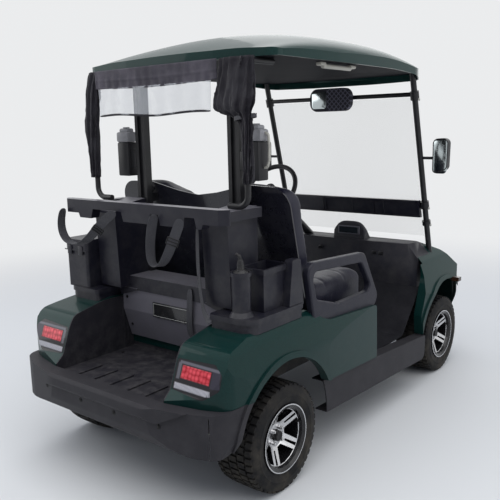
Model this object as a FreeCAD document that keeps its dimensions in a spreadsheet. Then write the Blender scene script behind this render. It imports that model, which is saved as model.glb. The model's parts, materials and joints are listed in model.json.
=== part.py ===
import FreeCAD, Part
import math
import os
import re
from types import SimpleNamespace

import Sketcher
from FreeCAD import Placement, Rotation, Vector

# Two-seat golf cart, millimetres. +Y is forward, +X the cart's right side, +Z up.
# The origin is on the ground, under the middle of the whole cart.

SIZES = [
    ("wheel_base", 1670, "front axle to rear axle"),
    ("rear_axle_y", -780, "place of the rear axle"),
    ("rear_track", 1010, "between the rear wheels' middle planes"),
    ("front_track", 922, "between the front wheels' middle planes"),
    ("tyre_radius", 228.5, "loaded tyre radius, so also the axle height"),
    ("tyre_width", 205, "over the sidewalls"),
    ("tread_width", 170, "flat of the tread"),
    ("tyre_wall", 12, "sidewall thickness"),
    ("tread_depth", 16, "thickness under the tread"),
    ("rim_radius", 142.5, "over the rim lip"),
    ("rim_half", 100, "half the rim's overall width"),
    ("seat_radius", 127, "tyre bead seat"),
    ("barrel_wall", 8, "rim barrel thickness"),
    ("dish_outer", 78, "face of the spokes at the rim, from the middle plane"),
    ("dish_inner", 44, "face of the hub, from the middle plane"),
    ("spoke_thick", 16, "spoke thickness"),
    ("hub_radius", 50, "solid middle of the wheel"),
    ("spoke_pairs", 5, "pairs of spokes"),
    ("spoke_width", 15, "one spoke"),
    ("spoke_slit", 14, "gap between the two spokes of a pair"),
    ("stub_radius", 15, "axle stub that carries the wheel"),
    ("stub_length", 22, "length of the stub inside the hub"),
    ("running_gap", 0.3, "clearance of a turning shaft in its bore"),
    ("part_gap", 0.3, "gap between pieces that sit against each other"),
    ("axle_tube", 35, "rear axle tube radius"),
    ("drum_radius", 85, "brake drum radius"),
    ("drum_length", 60, "brake drum length"),
    ("drum_clear", 8, "from the brake drum to the wheel hub"),
    ("rail_x", 200, "middle of each frame rail"),
    ("rail_width", 50, "frame rail width"),
    ("rail_height", 60, "frame rail height"),
    ("rail_low", 264, "underside of the front rails"),
    ("rail_rise", 110.7, "lift of the frame over the rear axle"),
    ("kick_y", -430, "where the frame rises over the rear axle"),
    ("rail_front", 1130, "front end of the frame"),
    ("rail_rear", -1180, "rear end of the frame"),
    ("cross_width", 40, "cross member width"),
    ("leaf_width", 45, "leaf spring width"),
    ("leaf_thick", 14, "leaf pack thickness"),
    ("eye_radius", 16, "spring eye radius"),
    ("beam_radius", 22, "front axle beam radius"),
    ("beam_height", 199, "front axle beam height"),
    ("kingpin_inset", 111, "from the front wheel's middle plane in to the steering pivot"),
    ("kingpin_radius", 12, "steering pivot pin"),
    ("boss_radius", 26, "eye at the end of the front beam"),
    ("boss_half", 20, "half height of that eye"),
    ("lug_gap", 5, "gap above and below the beam's eye"),
    ("lug_thick", 20, "knuckle lug thickness"),
    ("knuckle_plate", 32, "knuckle plate, from the kingpin"),
    ("knuckle_width", 44, "knuckle width fore and aft"),
    ("arm_length", 110, "steering arm"),
    ("tie_rod_radius", 9, "tie rod"),
    ("tie_rod_low", 135, "tie rod height"),
    ("body_half", 604, "half width over the rear wings"),
    ("body_wall", 4, "thickness of the moulded panels"),
    ("arch_radius", 322, "wheel arch"),
    ("arch_rise", 8, "wheel arch centre above the axle"),
    ("front_arch", 332, "front wheel arch"),
    ("flare", 9, "how far the wheel arch lips stand out"),
    ("lip_width", 26, "width of the wheel arch lips"),
    ("cowl_half", 590, "half width over the front wings"),
    ("sill_set", 22, "from the body side in to the sill"),
    ("sill_width", 62, "width of each sill"),
    ("floor_top", 330, "cabin floor"),
    ("floor_thick", 6, "floor pan thickness"),
    ("well_half", 335, "half width inside the bag well"),
    ("well_floor", 440, "floor of the bag well"),
    ("well_wall", 5, "bag well wall"),
    ("well_back", -745, "front wall of the bag well"),
    ("deck_low", 742, "underside of the beam over the bag well"),
    ("deck_beam", 66, "height of that beam"),
    ("strut_x", 285, "rear roof struts"),
    ("strut_width", 64, "rear roof strut width"),
    ("strut_depth", 34, "rear roof strut depth"),
    ("pad_reach", 42.5, "from the strut to the back of the seat"),
    ("strut_y", -655, "front face of the rear roof struts"),
    ("roof_low", 1743, "roof lip height"),
    ("roof_half", 560, "half width of the roof"),
    ("roof_rear", -772, "rear edge of the roof"),
    ("roof_front", 680, "front edge of the roof"),
    ("roof_wall", 5, "roof shell thickness"),
    ("post_x", 488, "windscreen posts"),
    ("post_radius", 16, "windscreen post radius"),
    ("clamp_radius", 24, "clamps on the windscreen posts"),
    ("bar_radius", 12, "bar between the windscreen posts"),
    ("seat_low", 618, "underside of the seat cushion"),
    ("seat_thick", 172, "seat cushion thickness"),
    ("hip_inset", 66, "from the body side in to the hip restraints"),
    ("hip_thick", 36, "thickness of the hip restraints"),
    ("hip_gap", 48, "from the hip restraints in to the cushion"),
    ("seat_side", 8, "gap between the cushion and the body beside it"),
    ("hinge_radius", 6, "seat hinge barrel"),
    ("seat_front", 52, "front of the seat cushion"),
    ("seat_rear", -390, "rear of the seat cushion"),
    ("rack_y", -970, "bag rack rail"),
    ("rack_top", 1177, "top of the bag rack rail"),
    ("rack_half", 500, "half length of the rack rail"),
    ("column_in", 268, "inner side of the rack columns"),
    ("column_out", 405, "outer side of the rack columns"),
    ("rack_height", 60, "rack rail height, without its tabs"),
    ("tab_drop", 20, "how far the rail's tabs hang below it"),
    ("rack_depth", 45, "rack rail depth"),
    ("steer_x", -275, "steering wheel centre, from the middle"),
    ("steer_y", 299, "steering wheel centre, fore and aft"),
    ("steer_z", 1112, "steering wheel centre height"),
    ("steer_radius", 167, "middle line of the steering wheel rim"),
    ("steer_grip", 14, "thickness radius of its rim"),
    ("steer_tilt", 53.13, "lean of the steering column from vertical"),
    ("bottle_radius", 34, "inside of the sand bottle tube"),
    ("bottle_x", 475, "sand bottle tube, from the middle"),
    ("bottle_y", -890, "sand bottle tube, fore and aft"),
    ("bottle_height", 175, "height of that tube"),
    ("caddy_floor", 752, "top of the caddies' bases"),
    ("hoop_x", 458, "tubes of the rain cover"),
    ("hoop_radius", 12.5, "radius of those tubes"),
]

doc = FreeCAD.newDocument("GolfCart")
sheet = doc.addObject("Spreadsheet::Sheet", "Sizes")
for row, (alias, value, meaning) in enumerate(SIZES, start=1):
    sheet.set(f"A{row}", meaning)
    sheet.set(f"B{row}", str(value))
    sheet.setAlias(f"B{row}", alias)
doc.recompute()
s = SimpleNamespace(**{alias: float(sheet.get(alias)) for alias, _, _ in SIZES})
front_axle_y = s.rear_axle_y + s.wheel_base
sill_inner = s.body_half - s.sill_set - s.sill_width
hip_in = s.body_half - s.hip_inset
seat_half = hip_in - s.hip_gap

SIDE = Rotation(Vector(0, 1, 0), Vector(0, 0, 1), Vector(1, 0, 0), "XYZ")
FRONT = Rotation(Vector(1, 0, 0), Vector(0, 0, 1), Vector(0, -1, 0), "XYZ")
ACROSS = Rotation(Vector(0, 1, 0), 90)
UPWARD = Rotation()
parts = {}


# Helpers for expressions and primitives

def bind(thing, prop, words):
    """Ties a property to named sizes in the sheet."""
    thing.setExpression(prop, re.sub(r"\b([a-z]\w*)\b(?!\()", r"Sizes.\1", str(words)))


def place(thing, corner, turn=UPWARD):
    thing.Placement = Placement(Vector(), turn)
    for axis, words in zip("xyz", corner):
        bind(thing, "Placement.Base." + axis, words)
    return thing


def block(name, corner, size):
    thing = doc.addObject("Part::Box", name)
    for prop, words in zip(("Length", "Width", "Height"), size):
        bind(thing, prop, words)
    return place(thing, corner)


def rod(name, turn, start, radius, length):
    thing = doc.addObject("Part::Cylinder", name)
    bind(thing, "Radius", radius)
    bind(thing, "Height", length)
    return place(thing, start, turn)


def joined(name, pieces):
    thing = doc.addObject("Part::MultiFuse", name)
    thing.Shapes = pieces
    return thing


def without(name, base, tool):
    thing = doc.addObject("Part::Cut", name)
    thing.Base = base
    thing.Tool = tool
    return thing


def formed(name, shape):
    thing = doc.addObject("Part::Feature", name)
    thing.Shape = shape
    return thing


def subpart(node, thing):
    """Names a finished piece; its name is also its file's name."""
    thing.Label = node
    parts[node] = thing
    return thing


# Helpers for shapes made of lines and arcs

def path(corners, closed):
    """Edges through corners (point, radius), each rounded by its radius."""
    marks = []
    for i, (here, radius) in enumerate(corners):
        inner = closed or 0 < i < len(corners) - 1
        if not radius or not inner:
            marks.append((here, None, here))
            continue
        before = (corners[i - 1][0] - here).normalize()
        after = (corners[(i + 1) % len(corners)][0] - here).normalize()
        half = before.getAngle(after) / 2
        reach = radius / math.tan(half)
        middle = (before + after).normalize()
        top = here + middle * (radius / math.sin(half) - radius)
        marks.append((here + before * reach, top, here + after * reach))
    edges = []
    for i, (start, top, end) in enumerate(marks):
        if top:
            edges.append(Part.Arc(start, top, end).toShape())
        if closed or i < len(marks) - 1:
            following = marks[(i + 1) % len(marks)][0]
            if end.distanceToPoint(following) > 1e-6:
                edges.append(Part.LineSegment(end, following).toShape())
    return Part.Wire(edges)


def prism(turn, corners, low, high, inset=0):
    """Outline of (u, v) or (u, v, radius) corners, drawn from the side, front or top."""
    points = [(Vector(c[0], c[1], 0), c[2] if len(c) > 2 else 0) for c in corners]
    face = Part.Face(path(points, True))
    if inset:
        face = face.makeOffset2D(-inset)
    if turn is FRONT:
        low, high = -high, -low
    solid = face.extrude(Vector(0, 0, high - low))
    solid.translate(Vector(0, 0, low))
    solid.Placement = Placement(Vector(), turn).multiply(solid.Placement)
    return solid


def hull(side, front, plan, inset=0):
    """Bodywork form: what its side, front and top outlines have in common."""
    reach = 2000
    shape = prism(SIDE, side, -reach, reach, inset)
    shape = shape.common(prism(FRONT, front, -reach, reach, inset))
    return shape.common(prism(UPWARD, plan, -reach, reach, inset))


def box(x0, y0, z0, x1, y1, z1):
    return Part.makeBox(x1 - x0, y1 - y0, z1 - z0, Vector(x0, y0, z0))


def cylinder(radius, start, along):
    return Part.makeCylinder(radius, along.Length, start, along)


def mirrored(corners):
    """Both sides of an outline that is given for x over zero."""
    return corners + [(-c[0],) + tuple(c[1:]) for c in reversed(corners)]


def flipped(shape):
    return shape.mirror(Vector(), Vector(1, 0, 0))


def both(shape):
    return Part.makeCompound([shape, flipped(shape)])


def tube(corners, radius, bend):
    """Bar swept along straight runs joined by arcs."""
    points = [(Vector(*c), bend) for c in corners]
    spine = path(points, False)
    start = points[0][0]
    ahead = points[1][0] - start
    ring = Part.Wire(Part.makeCircle(radius, start, ahead))
    return spine.makePipeShell([ring], True, False)


# Wheels: each is a tyre and a rim made by turning a profile about the axle

def sketch(body, name, plane, corners):
    """Closed outline whose corners are all bound to named sizes."""
    drawing = body.newObject("Sketcher::SketchObject", name)
    origin = [o for o in body.Origin.OriginFeatures if o.Role == plane][0]
    drawing.AttachmentSupport = (origin, "")
    drawing.MapMode = "FlatFace"
    values = [[worked_out(words) for words in corner] for corner in corners]
    count = len(corners)
    for i, (u, v) in enumerate(values):
        end = values[(i + 1) % count]
        drawing.addGeometry(Part.LineSegment(Vector(u, v, 0), Vector(end[0], end[1], 0)))
    for i in range(count):
        drawing.addConstraint(Sketcher.Constraint("Coincident", i, 2, (i + 1) % count, 1))
    for i in range(count):
        for kind, words, value in zip(("DistanceX", "DistanceY"), corners[i], values[i]):
            number = drawing.addConstraint(Sketcher.Constraint(kind, -1, 1, i, 1, value))
            bind(drawing, f"Constraints[{number}]", words)
    return drawing


def worked_out(words):
    """Value of an expression, read back through a spare cell of the sheet."""
    sheet.set("D1", f"={words}")
    sheet.recompute()
    return float(sheet.get("D1"))


TYRE = [
    ("-rim_half + 10.5", "seat_radius + part_gap"),
    ("-rim_half + 24", "seat_radius + part_gap"),
    ("-tyre_width / 2 + tyre_wall + 6", "tyre_radius - 60"),
    ("-tread_width / 2 + 4", "tyre_radius - tread_depth - 4"),
    ("tread_width / 2 - 4", "tyre_radius - tread_depth - 4"),
    ("tyre_width / 2 - tyre_wall - 6", "tyre_radius - 60"),
    ("rim_half - 24", "seat_radius + part_gap"),
    ("rim_half - 10.5", "seat_radius + part_gap"),
    ("rim_half - 6.5", "rim_radius + 1"),
    ("tyre_width / 2 - 1", "rim_radius + 8"),
    ("tyre_width / 2", "tyre_radius - 42"),
    ("tread_width / 2 + 12", "tyre_radius - 18"),
    ("tread_width / 2", "tyre_radius - 4"),
    ("tread_width / 2 - 22", "tyre_radius"),
    ("-tread_width / 2 + 22", "tyre_radius"),
    ("-tread_width / 2", "tyre_radius - 4"),
    ("-tread_width / 2 - 12", "tyre_radius - 18"),
    ("-tyre_width / 2", "tyre_radius - 42"),
    ("-tyre_width / 2 + 1", "rim_radius + 8"),
    ("-rim_half + 6.5", "rim_radius + 1"),
]
RIM = [
    ("-rim_half", "rim_radius - 6"),
    ("-rim_half", "rim_radius"),
    ("-rim_half + 6", "rim_radius"),
    ("-rim_half + 10", "seat_radius"),
    ("rim_half - 10", "seat_radius"),
    ("rim_half - 6", "rim_radius"),
    ("rim_half", "rim_radius"),
    ("rim_half", "rim_radius - 6"),
    ("rim_half - 8", "seat_radius - barrel_wall / 2"),
    ("dish_outer", "seat_radius - barrel_wall"),
    ("dish_inner", "hub_radius"),
    ("dish_inner", "hub_radius / 2"),
    ("dish_inner + 8", "hub_radius / 2 - 5"),
    ("dish_inner + 8", "0"),
    ("stub_length + 1", "0"),
    ("stub_length + 1", "stub_radius + running_gap"),
    ("0", "stub_radius + running_gap"),
    ("0", "hub_radius"),
    ("dish_inner - spoke_thick", "hub_radius"),
    ("dish_outer - spoke_thick", "seat_radius - barrel_wall"),
    ("-rim_half + 18", "seat_radius - barrel_wall"),
    ("-rim_half + 8", "seat_radius - barrel_wall / 2"),
]
PITCH = "180 / spoke_pairs"
WINDOW_OUT = "(seat_radius - barrel_wall - 2)"
WINDOW_IN = "(hub_radius + 6)"
# A window lies between two pairs of spokes, and the slit parts the two spokes of a pair.
WINDOW = [
    (f"{WINDOW_IN} * cos({PITCH} - 24)", f"-{WINDOW_IN} * sin({PITCH} - 24)"),
    (f"{WINDOW_OUT} * cos({PITCH} - 11)", f"-{WINDOW_OUT} * sin({PITCH} - 11)"),
    (f"{WINDOW_OUT} * cos(9)", f"-{WINDOW_OUT} * sin(9)"),
    (f"{WINDOW_OUT} * cos(9)", f"{WINDOW_OUT} * sin(9)"),
    (f"{WINDOW_OUT} * cos({PITCH} - 11)", f"{WINDOW_OUT} * sin({PITCH} - 11)"),
    (f"{WINDOW_IN} * cos({PITCH} - 24)", f"{WINDOW_IN} * sin({PITCH} - 24)"),
]
SLIT = [
    ("-hub_radius - 14", "-spoke_slit / 3"),
    ("-seat_radius + barrel_wall + 2", "-spoke_slit / 2"),
    ("-seat_radius + barrel_wall + 2", "spoke_slit / 2"),
    ("-hub_radius - 14", "spoke_slit / 3"),
]


def turned(name, profile):
    body = doc.addObject("PartDesign::Body", name)
    drawing = sketch(body, name + "_profile", "XY_Plane", profile)
    spin = body.newObject("PartDesign::Revolution", name + "_spin")
    spin.Profile = drawing
    spin.ReferenceAxis = (drawing, ["H_Axis"])
    spin.Angle = 360
    return body


def windows(body, name, corners):
    """Opening through the wheel's face, repeated once for each pair of spokes."""
    drawing = sketch(body, name, "YZ_Plane", corners)
    opening = body.newObject("PartDesign::Pocket", name + "_cut")
    opening.Profile = drawing
    opening.Type = 1
    opening.Midplane = True
    ring = body.newObject("PartDesign::PolarPattern", name + "_ring")
    ring.Originals = [opening]
    axle = [o for o in body.Origin.OriginFeatures if o.Role == "X_Axis"][0]
    ring.Axis = (axle, [""])
    ring.Angle = 360
    bind(ring, "Occurrences", "spoke_pairs")
    body.Tip = ring


WHEELS = [
    # name, side, place along the cart, track
    ("rear_right", 1, "rear_axle_y", "rear_track"),
    ("rear_left", -1, "rear_axle_y", "rear_track"),
    ("front_right", 1, "rear_axle_y + wheel_base", "front_track"),
    ("front_left", -1, "rear_axle_y + wheel_base", "front_track"),
]
for wheel, side, axle_y, track in WHEELS:
    facing = Rotation(Vector(0, 0, 1), 0 if side > 0 else 180)
    where = (f"{side} * {track} / 2", axle_y, "tyre_radius")
    tyre = turned("tyre_" + wheel, TYRE)
    subpart("tyre_" + wheel, place(tyre, where, facing))
    rim = turned("rim_" + wheel, RIM)
    windows(rim, "window_" + wheel, WINDOW)
    windows(rim, "slit_" + wheel, SLIT)
    subpart("rim_" + wheel, place(rim, where, facing))


# Ladder frame, with the rails lifted over the rear axle

pieces = []
for side in (1, -1):
    rail_side = f"{side} * rail_x - rail_width / 2"
    pieces += [
        block("rail", (rail_side, "kick_y", "rail_low"),
              ("rail_width", "rail_front - kick_y", "rail_height")),
        block("rail_up", (rail_side, "kick_y - 50", "rail_low"),
              ("rail_width", "50", "rail_rise + rail_height")),
        block("rail_over", (rail_side, "rail_rear", "rail_low + rail_rise"),
              ("rail_width", "kick_y - rail_rear", "rail_height")),
    ]
CROSS_MEMBERS = [
    # place along the cart, height of the underside
    ("rail_front - cross_width", "rail_low"),
    ("440", "rail_low"),
    ("-60", "rail_low"),
    ("kick_y - 50", "rail_low + rail_rise"),
    ("rail_rear", "rail_low + rail_rise"),
]
for along, low in CROSS_MEMBERS:
    pieces.append(block("cross", ("-rail_x", along, low), ("2 * rail_x", "cross_width", "rail_height")))
subpart("chassis_frame", joined("chassis", pieces))


# Rear axle with its gear case, brake drums and electric motor

pieces = [rod("axle_tube_bar", ACROSS, ("-rear_track / 2 + drum_clear + drum_length", "rear_axle_y",
              "tyre_radius"), "axle_tube", "rear_track - 2 * drum_clear - 2 * drum_length")]
for side in (1, -1):
    turn = ACROSS if side > 0 else ACROSS.inverted()
    drum_start = f"{side} * (rear_track / 2 - drum_clear - drum_length)"
    pieces.append(rod("drum", turn, (drum_start, "rear_axle_y", "tyre_radius"), "drum_radius", "drum_length"))
    pieces.append(rod("stub", turn, (drum_start, "rear_axle_y", "tyre_radius"), "stub_radius",
                      "drum_length + drum_clear + stub_length"))
pieces.append(rod("gear_case", ACROSS, ("30", "rear_axle_y", "tyre_radius"), "82", "90"))
pieces.append(rod("gear_nose", ACROSS, ("30", "rear_axle_y + 165", "tyre_radius + 20"), "62", "90"))
pieces.append(block("gear_web", ("40", "rear_axle_y", "tyre_radius - 40"), ("70", "165", "95")))
subpart("rear_axle", joined("rear_axle_all", pieces))
subpart("drive_motor", rod("motor", ACROSS, ("-165", "rear_axle_y + 165", "tyre_radius + 20"),
                           "90", "195 - part_gap"))


# Leaf springs: bowed leaf, an eye at each end, and a shackle at the rear

def leaf_spring(front_y, rear_y, end_z, seat_z, thick):
    """Side outline of a bowed leaf, from eye to eye, with its seat in the middle."""
    middle_y = (front_y + rear_y) / 2
    lower = Part.Arc(Vector(rear_y, end_z, 0), Vector(middle_y, seat_z - thick, 0), Vector(front_y, end_z, 0))
    upper = Part.Arc(Vector(front_y, end_z + thick, 0), Vector(middle_y, seat_z, 0),
                     Vector(rear_y, end_z + thick, 0))
    joins = [Part.LineSegment(Vector(front_y, end_z, 0), Vector(front_y, end_z + thick, 0)),
             Part.LineSegment(Vector(rear_y, end_z + thick, 0), Vector(rear_y, end_z, 0))]
    wire = Part.Wire([lower.toShape(), joins[0].toShape(), upper.toShape(), joins[1].toShape()])
    leaf = Part.Face(wire).extrude(Vector(0, 0, s.leaf_width))
    leaf.translate(Vector(0, 0, s.rail_x - s.leaf_width / 2))
    leaf.Placement = Placement(Vector(), SIDE).multiply(leaf.Placement)
    for y in (front_y, rear_y):
        start = Vector(s.rail_x - s.leaf_width / 2, y, end_z + thick / 2)
        leaf = leaf.fuse(cylinder(s.eye_radius, start, Vector(s.leaf_width, 0, 0)))
    return leaf


rail_over_low = s.rail_low + s.rail_rise
eye_low = s.rail_low - s.part_gap - s.eye_radius - s.leaf_thick / 2
rear_seat = s.tyre_radius - s.axle_tube - s.part_gap
spring = leaf_spring(s.kick_y - 25, s.rear_axle_y * 2 - s.kick_y + 25, eye_low, rear_seat, s.leaf_thick)
shackle_y = s.rear_axle_y * 2 - s.kick_y + 25
shackle = box(s.rail_x - s.leaf_width / 2, shackle_y - 12, eye_low + s.leaf_thick / 2,
              s.rail_x + s.leaf_width / 2, shackle_y + 12, rail_over_low - s.part_gap)
subpart("rear_springs", formed("rear_leaf", both(spring.fuse(shackle).removeSplitter())))
front_seat = s.beam_height + s.beam_radius + s.part_gap
spring = leaf_spring(front_axle_y + 220, front_axle_y - 300, eye_low, front_seat + s.leaf_thick, s.leaf_thick)
subpart("front_springs", formed("front_leaf", both(spring.removeSplitter())))


# Front axle beam, steering knuckles and tie rod

KINGPIN = "(front_track / 2 - kingpin_inset)"
pieces = [rod("beam", ACROSS, (f"-{KINGPIN}", "rear_axle_y + wheel_base", "beam_height"),
              "beam_radius", f"2 * {KINGPIN}")]
for side in (1, -1):
    pieces.append(rod("beam_eye", UPWARD, (f"{side} * {KINGPIN}", "rear_axle_y + wheel_base",
                      "beam_height - boss_half"), "boss_radius", "2 * boss_half"))
beam = joined("beam_all", pieces)
bores = joined("beam_bores", [
    rod("beam_bore", UPWARD, (f"{side} * {KINGPIN}", "rear_axle_y + wheel_base", "beam_height - 2 * boss_half"),
        "kingpin_radius + running_gap", "4 * boss_half") for side in (1, -1)])
subpart("front_axle", without("front_axle_beam", beam, bores))
for name, side in (("right", 1), ("left", -1)):
    edge = "knuckle_plate" if side > 0 else "-knuckle_plate - lug_thick"
    lug = "-knuckle_width / 2" if side > 0 else "-knuckle_plate - lug_thick"
    centre_y = "rear_axle_y + wheel_base"
    lug_length = "knuckle_plate + lug_thick + knuckle_width / 2"
    inner = "beam_height - boss_half - lug_gap - lug_thick"
    outer = "beam_height + boss_half + lug_gap"
    spindle_turn = ACROSS if side > 0 else ACROSS.inverted()
    knuckle = joined("knuckle_all", [
        block("lug_low", (f"{side} * {KINGPIN} + {lug}", f"{centre_y} - knuckle_width / 2", inner),
              (lug_length, "knuckle_width", "lug_thick")),
        block("lug_high", (f"{side} * {KINGPIN} + {lug}", f"{centre_y} - knuckle_width / 2", outer),
              (lug_length, "knuckle_width", "lug_thick")),
        block("plate", (f"{side} * {KINGPIN} + {edge}", f"{centre_y} - knuckle_width / 2", inner),
              ("lug_thick", "knuckle_width", "2 * (boss_half + lug_gap + lug_thick)")),
        rod("kingpin", UPWARD, (f"{side} * {KINGPIN}", centre_y, inner), "kingpin_radius",
            "2 * (boss_half + lug_gap + lug_thick)"),
        rod("spindle", spindle_turn, (f"{side} * ({KINGPIN} + knuckle_plate)", centre_y, "tyre_radius"),
            "stub_radius", "kingpin_inset + stub_length - knuckle_plate"),
        block("arm", (f"{side} * ({KINGPIN} - 14) - 12", f"{centre_y} - arm_length - 12", inner),
              ("24", "arm_length", "lug_thick - 4")),
        rod("ball_stud", UPWARD, (f"{side} * ({KINGPIN} - 14)", f"{centre_y} - arm_length",
            "tie_rod_low + tie_rod_radius + part_gap"), "7", "20"),
    ])
    subpart("knuckle_" + name, knuckle)
subpart("tie_rod", rod("tie_rod_bar", ACROSS, (f"-{KINGPIN} + 8", "rear_axle_y + wheel_base - arm_length",
                       "tie_rod_low"), "tie_rod_radius", f"2 * {KINGPIN} - 16"))


# Rear body: one thin moulding over the wheels, with the bag well let into it

REAR_SIDE = [
    (-1208, 462, 4), (-1160, 505, 20), (-1116, 620, 140), (-1088, 668, 58),
    (-900, 704, 280), (-545, 712, 140), (-440, 640, 180), (8, 612, 22), (15, 343, 8),
    (-460, 375), (-700, 462),
]


def rear_outlines(half):
    """Front and top outlines of the rear body for a half width over the wings."""
    front = mirrored([(half, 250), (half, 560, 300), (half - 36, 708, 85), (300, 716)])
    plan = mirrored([(289, -1210, 200), (half - 104, -1162, 120), (half - 10, -1124, 70), (half, -1000, 80),
                     (half, -450, 200), (half - 16, 30)])
    return front, plan


def arch_lip(form, axle_y, radius, half):
    """Rolled lip round a wheel arch, where its ring meets a form that is wider than the body."""
    middle = Vector(-800, axle_y, s.tyre_radius + s.arch_rise)
    along = Vector(1600, 0, 0)
    ring = cylinder(radius + s.lip_width, middle, along).cut(cylinder(radius, middle, along))
    return form.common(ring).cut(box(-half + 30, -2000, 0, half - 30, 2000, 2000))


rear_front, rear_plan = rear_outlines(s.body_half)
rear_form = hull(REAR_SIDE, rear_front, rear_plan)
deck_top = s.seat_low - s.part_gap


def seat_recess(grown):
    """Space that the cushion drops into; grown by the panel for the inner form."""
    return box(-seat_half - s.seat_side - grown, s.seat_rear - 6 - grown, deck_top - grown,
               seat_half + s.seat_side + grown, 100, 900)


rear_solid = rear_form.cut(seat_recess(0))
rear_void = hull(REAR_SIDE, rear_front, rear_plan, s.body_wall).cut(seat_recess(s.body_wall))
below = prism(SIDE, [(-1208 + s.body_wall, 455), (-1160, 495), (-700, 500), (-460, 400), (10, 380), (11, 300),
                     (-460, 300), (-1208 + s.body_wall, 300)], -s.body_half + s.body_wall,
              s.body_half - s.body_wall)
below = below.common(prism(UPWARD, rear_plan, 250, 700, s.body_wall))
wheel_middle = s.rear_axle_y + 20
wheel_space = cylinder(s.arch_radius, Vector(-800, wheel_middle, s.tyre_radius + s.arch_rise), Vector(1600, 0, 0))
well_outer = s.well_half + s.well_wall + s.part_gap
well_space = box(-well_outer, -1400, s.well_floor - s.well_wall - s.part_gap, well_outer,
                 s.well_back + s.well_wall + s.part_gap, 900)
battery_hatch = box(-400, -360, 560, 400, -40, 800)
lamp_inner = well_outer + 3.7
LAMP = [(lamp_inner, 618, 10), (lamp_inner, 508, 10), (s.body_half - 99, 497, 30), (s.body_half - 38, 540, 25),
        (s.body_half - 30, 596, 18), (s.body_half - 74, 627, 20)]
lamp_zone = prism(FRONT, LAMP, -1400, -1052)
lamp_back = rear_solid.copy()
lamp_back.translate(Vector(-20, 26, 0))
lamps = rear_solid.cut(lamp_back).common(lamp_zone)
lamp_zone_wide = prism(FRONT, LAMP, -1400, -1052 + s.part_gap, -s.part_gap)
rear_shell = rear_solid.cut(rear_void).cut(below).cut(wheel_space).cut(well_space).cut(battery_hatch)
rear_shell = rear_shell.cut(lamp_zone_wide).cut(flipped(lamp_zone_wide))
rear_wide = hull(REAR_SIDE, *rear_outlines(s.body_half + s.flare))
rear_shell = rear_shell.fuse(arch_lip(rear_wide, wheel_middle, s.arch_radius, s.body_half).cut(wheel_space))
# Strip of body colour across the well's front wall
strip_front = s.well_back - s.part_gap
strip = box(-s.well_half + 1, strip_front - 6, 462, s.well_half - 1, strip_front, 499.7)
subpart("rear_body", formed("rear_moulding", Part.makeCompound(rear_shell.Solids + [strip])))
subpart("tail_lamps", formed("lamp_pair", both(lamps)))

# Battery case between the rails, and the hinge barrels along the seat's front edge
subpart("battery_pack", block("battery", ("-rail_x + rail_width / 2 + part_gap", "-395", "rail_low + 10"),
                              ("2 * rail_x - rail_width - 2 * part_gap", "330", "250")))
hinge_y = 22
hinge_z = s.seat_low - s.hinge_radius - 2
barrels = [cylinder(s.hinge_radius, Vector(x - 45, hinge_y, hinge_z), Vector(90, 0, 0))
           .fuse(box(x - 40, 5, hinge_z - 22, x + 40, 17, hinge_z + 2)).cut(rear_solid) for x in (-300, 300)]
subpart("seat_hinges", formed("hinge_pair", Part.makeCompound(barrels)))


# Bumper under the rear body, wrapped round to the wheel arches, with a thick bar across it

BUMPER_SIDE = [(-1225, 290, 30), (-1252, 345, 40), (-1256, 425, 20), (-1222, 461.7, 12), (-985, 461.7),
               (-1050, 345, 80), (-1105, 290, 60)]
BAR_SIDE = [(-1180, 402), (-1260, 402, 10), (-1270, 415, 8), (-1270, 448, 10), (-1258, 461.7, 6), (-1180, 461.7)]
BAR_FRONT = mirrored([(350, 400), (480, 463)])


def bumper_outlines(half, rear):
    """Front and top outlines of the bumper for a half width and its rearmost place."""
    front = mirrored([(half - 30, 250), (half - 2, 340, 60), (half - 2, 600)])
    plan = mirrored([(289, rear, 260), (half - 104, rear + 44, 120), (half - 12, -1180, 90), (half, -1040, 80),
                     (half, -930)])
    return front, plan


bumper_front, bumper_plan = bumper_outlines(s.body_half, -1257)
bumper = hull(BUMPER_SIDE, bumper_front, bumper_plan)
hollow = hull([(y, z - 20 if z < 300 else z) for y, z, *r in BUMPER_SIDE], bumper_front, bumper_plan, 8)
bar_plan = bumper_outlines(s.body_half, -1270)[1]
bar = hull(BAR_SIDE, BAR_FRONT, bar_plan)
behind = box(-s.body_half + 45, -1190, 200, s.body_half - 45, -900, 452)
well_lip = box(-well_outer, -1196 - s.part_gap, s.well_floor - s.well_wall - s.part_gap, well_outer, -900, 500)
bumper_wide = hull(BUMPER_SIDE, *bumper_outlines(s.body_half + s.flare, -1257))
bumper_lip = arch_lip(bumper_wide, wheel_middle, s.arch_radius, s.body_half)
bumper = bumper.multiFuse([bar, bumper_lip]).cut(hollow).cut(behind).cut(wheel_space).cut(well_lip)
subpart("rear_bumper", formed("bumper_moulding", bumper))


# Liner of the bag well, with raised pads at its rear edge and ribs on its walls

well_block = box(-s.well_half - s.well_wall, -1196, s.well_floor - s.well_wall,
                 s.well_half + s.well_wall, s.well_back + s.well_wall, 700)
well_sill = box(-s.well_half - s.well_wall, -1196, s.well_floor - s.well_wall,
                s.well_half + s.well_wall, -700, 470)
well_block = well_block.common(rear_solid.fuse(well_sill))
well = well_block.cut(box(-s.well_half, -1400, s.well_floor, s.well_half, s.well_back, 900))
pad_pitch = 105
pads = [box(x - 43, -1176, s.well_floor - 1, x + 43, -1040, s.well_floor + 6)
        for x in range(-262, 263, pad_pitch)]
wall_ribs = [box(side * s.well_half - 5, y, s.well_floor, side * s.well_half + 5, y + 9, 690)
             for side in (-1, 1) for y in (-812, -790)]
wall_ribs = [rib.common(rear_solid) for rib in wall_ribs]
well = well.multiFuse(pads + wall_ribs)
well = well.cut(box(-well_outer + 0.1, strip_front - 6 - s.part_gap, 461.7, -s.well_half + 1 + s.part_gap - 1.3, 0, 462))
subpart("bag_well", formed("well_liner", well))

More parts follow.
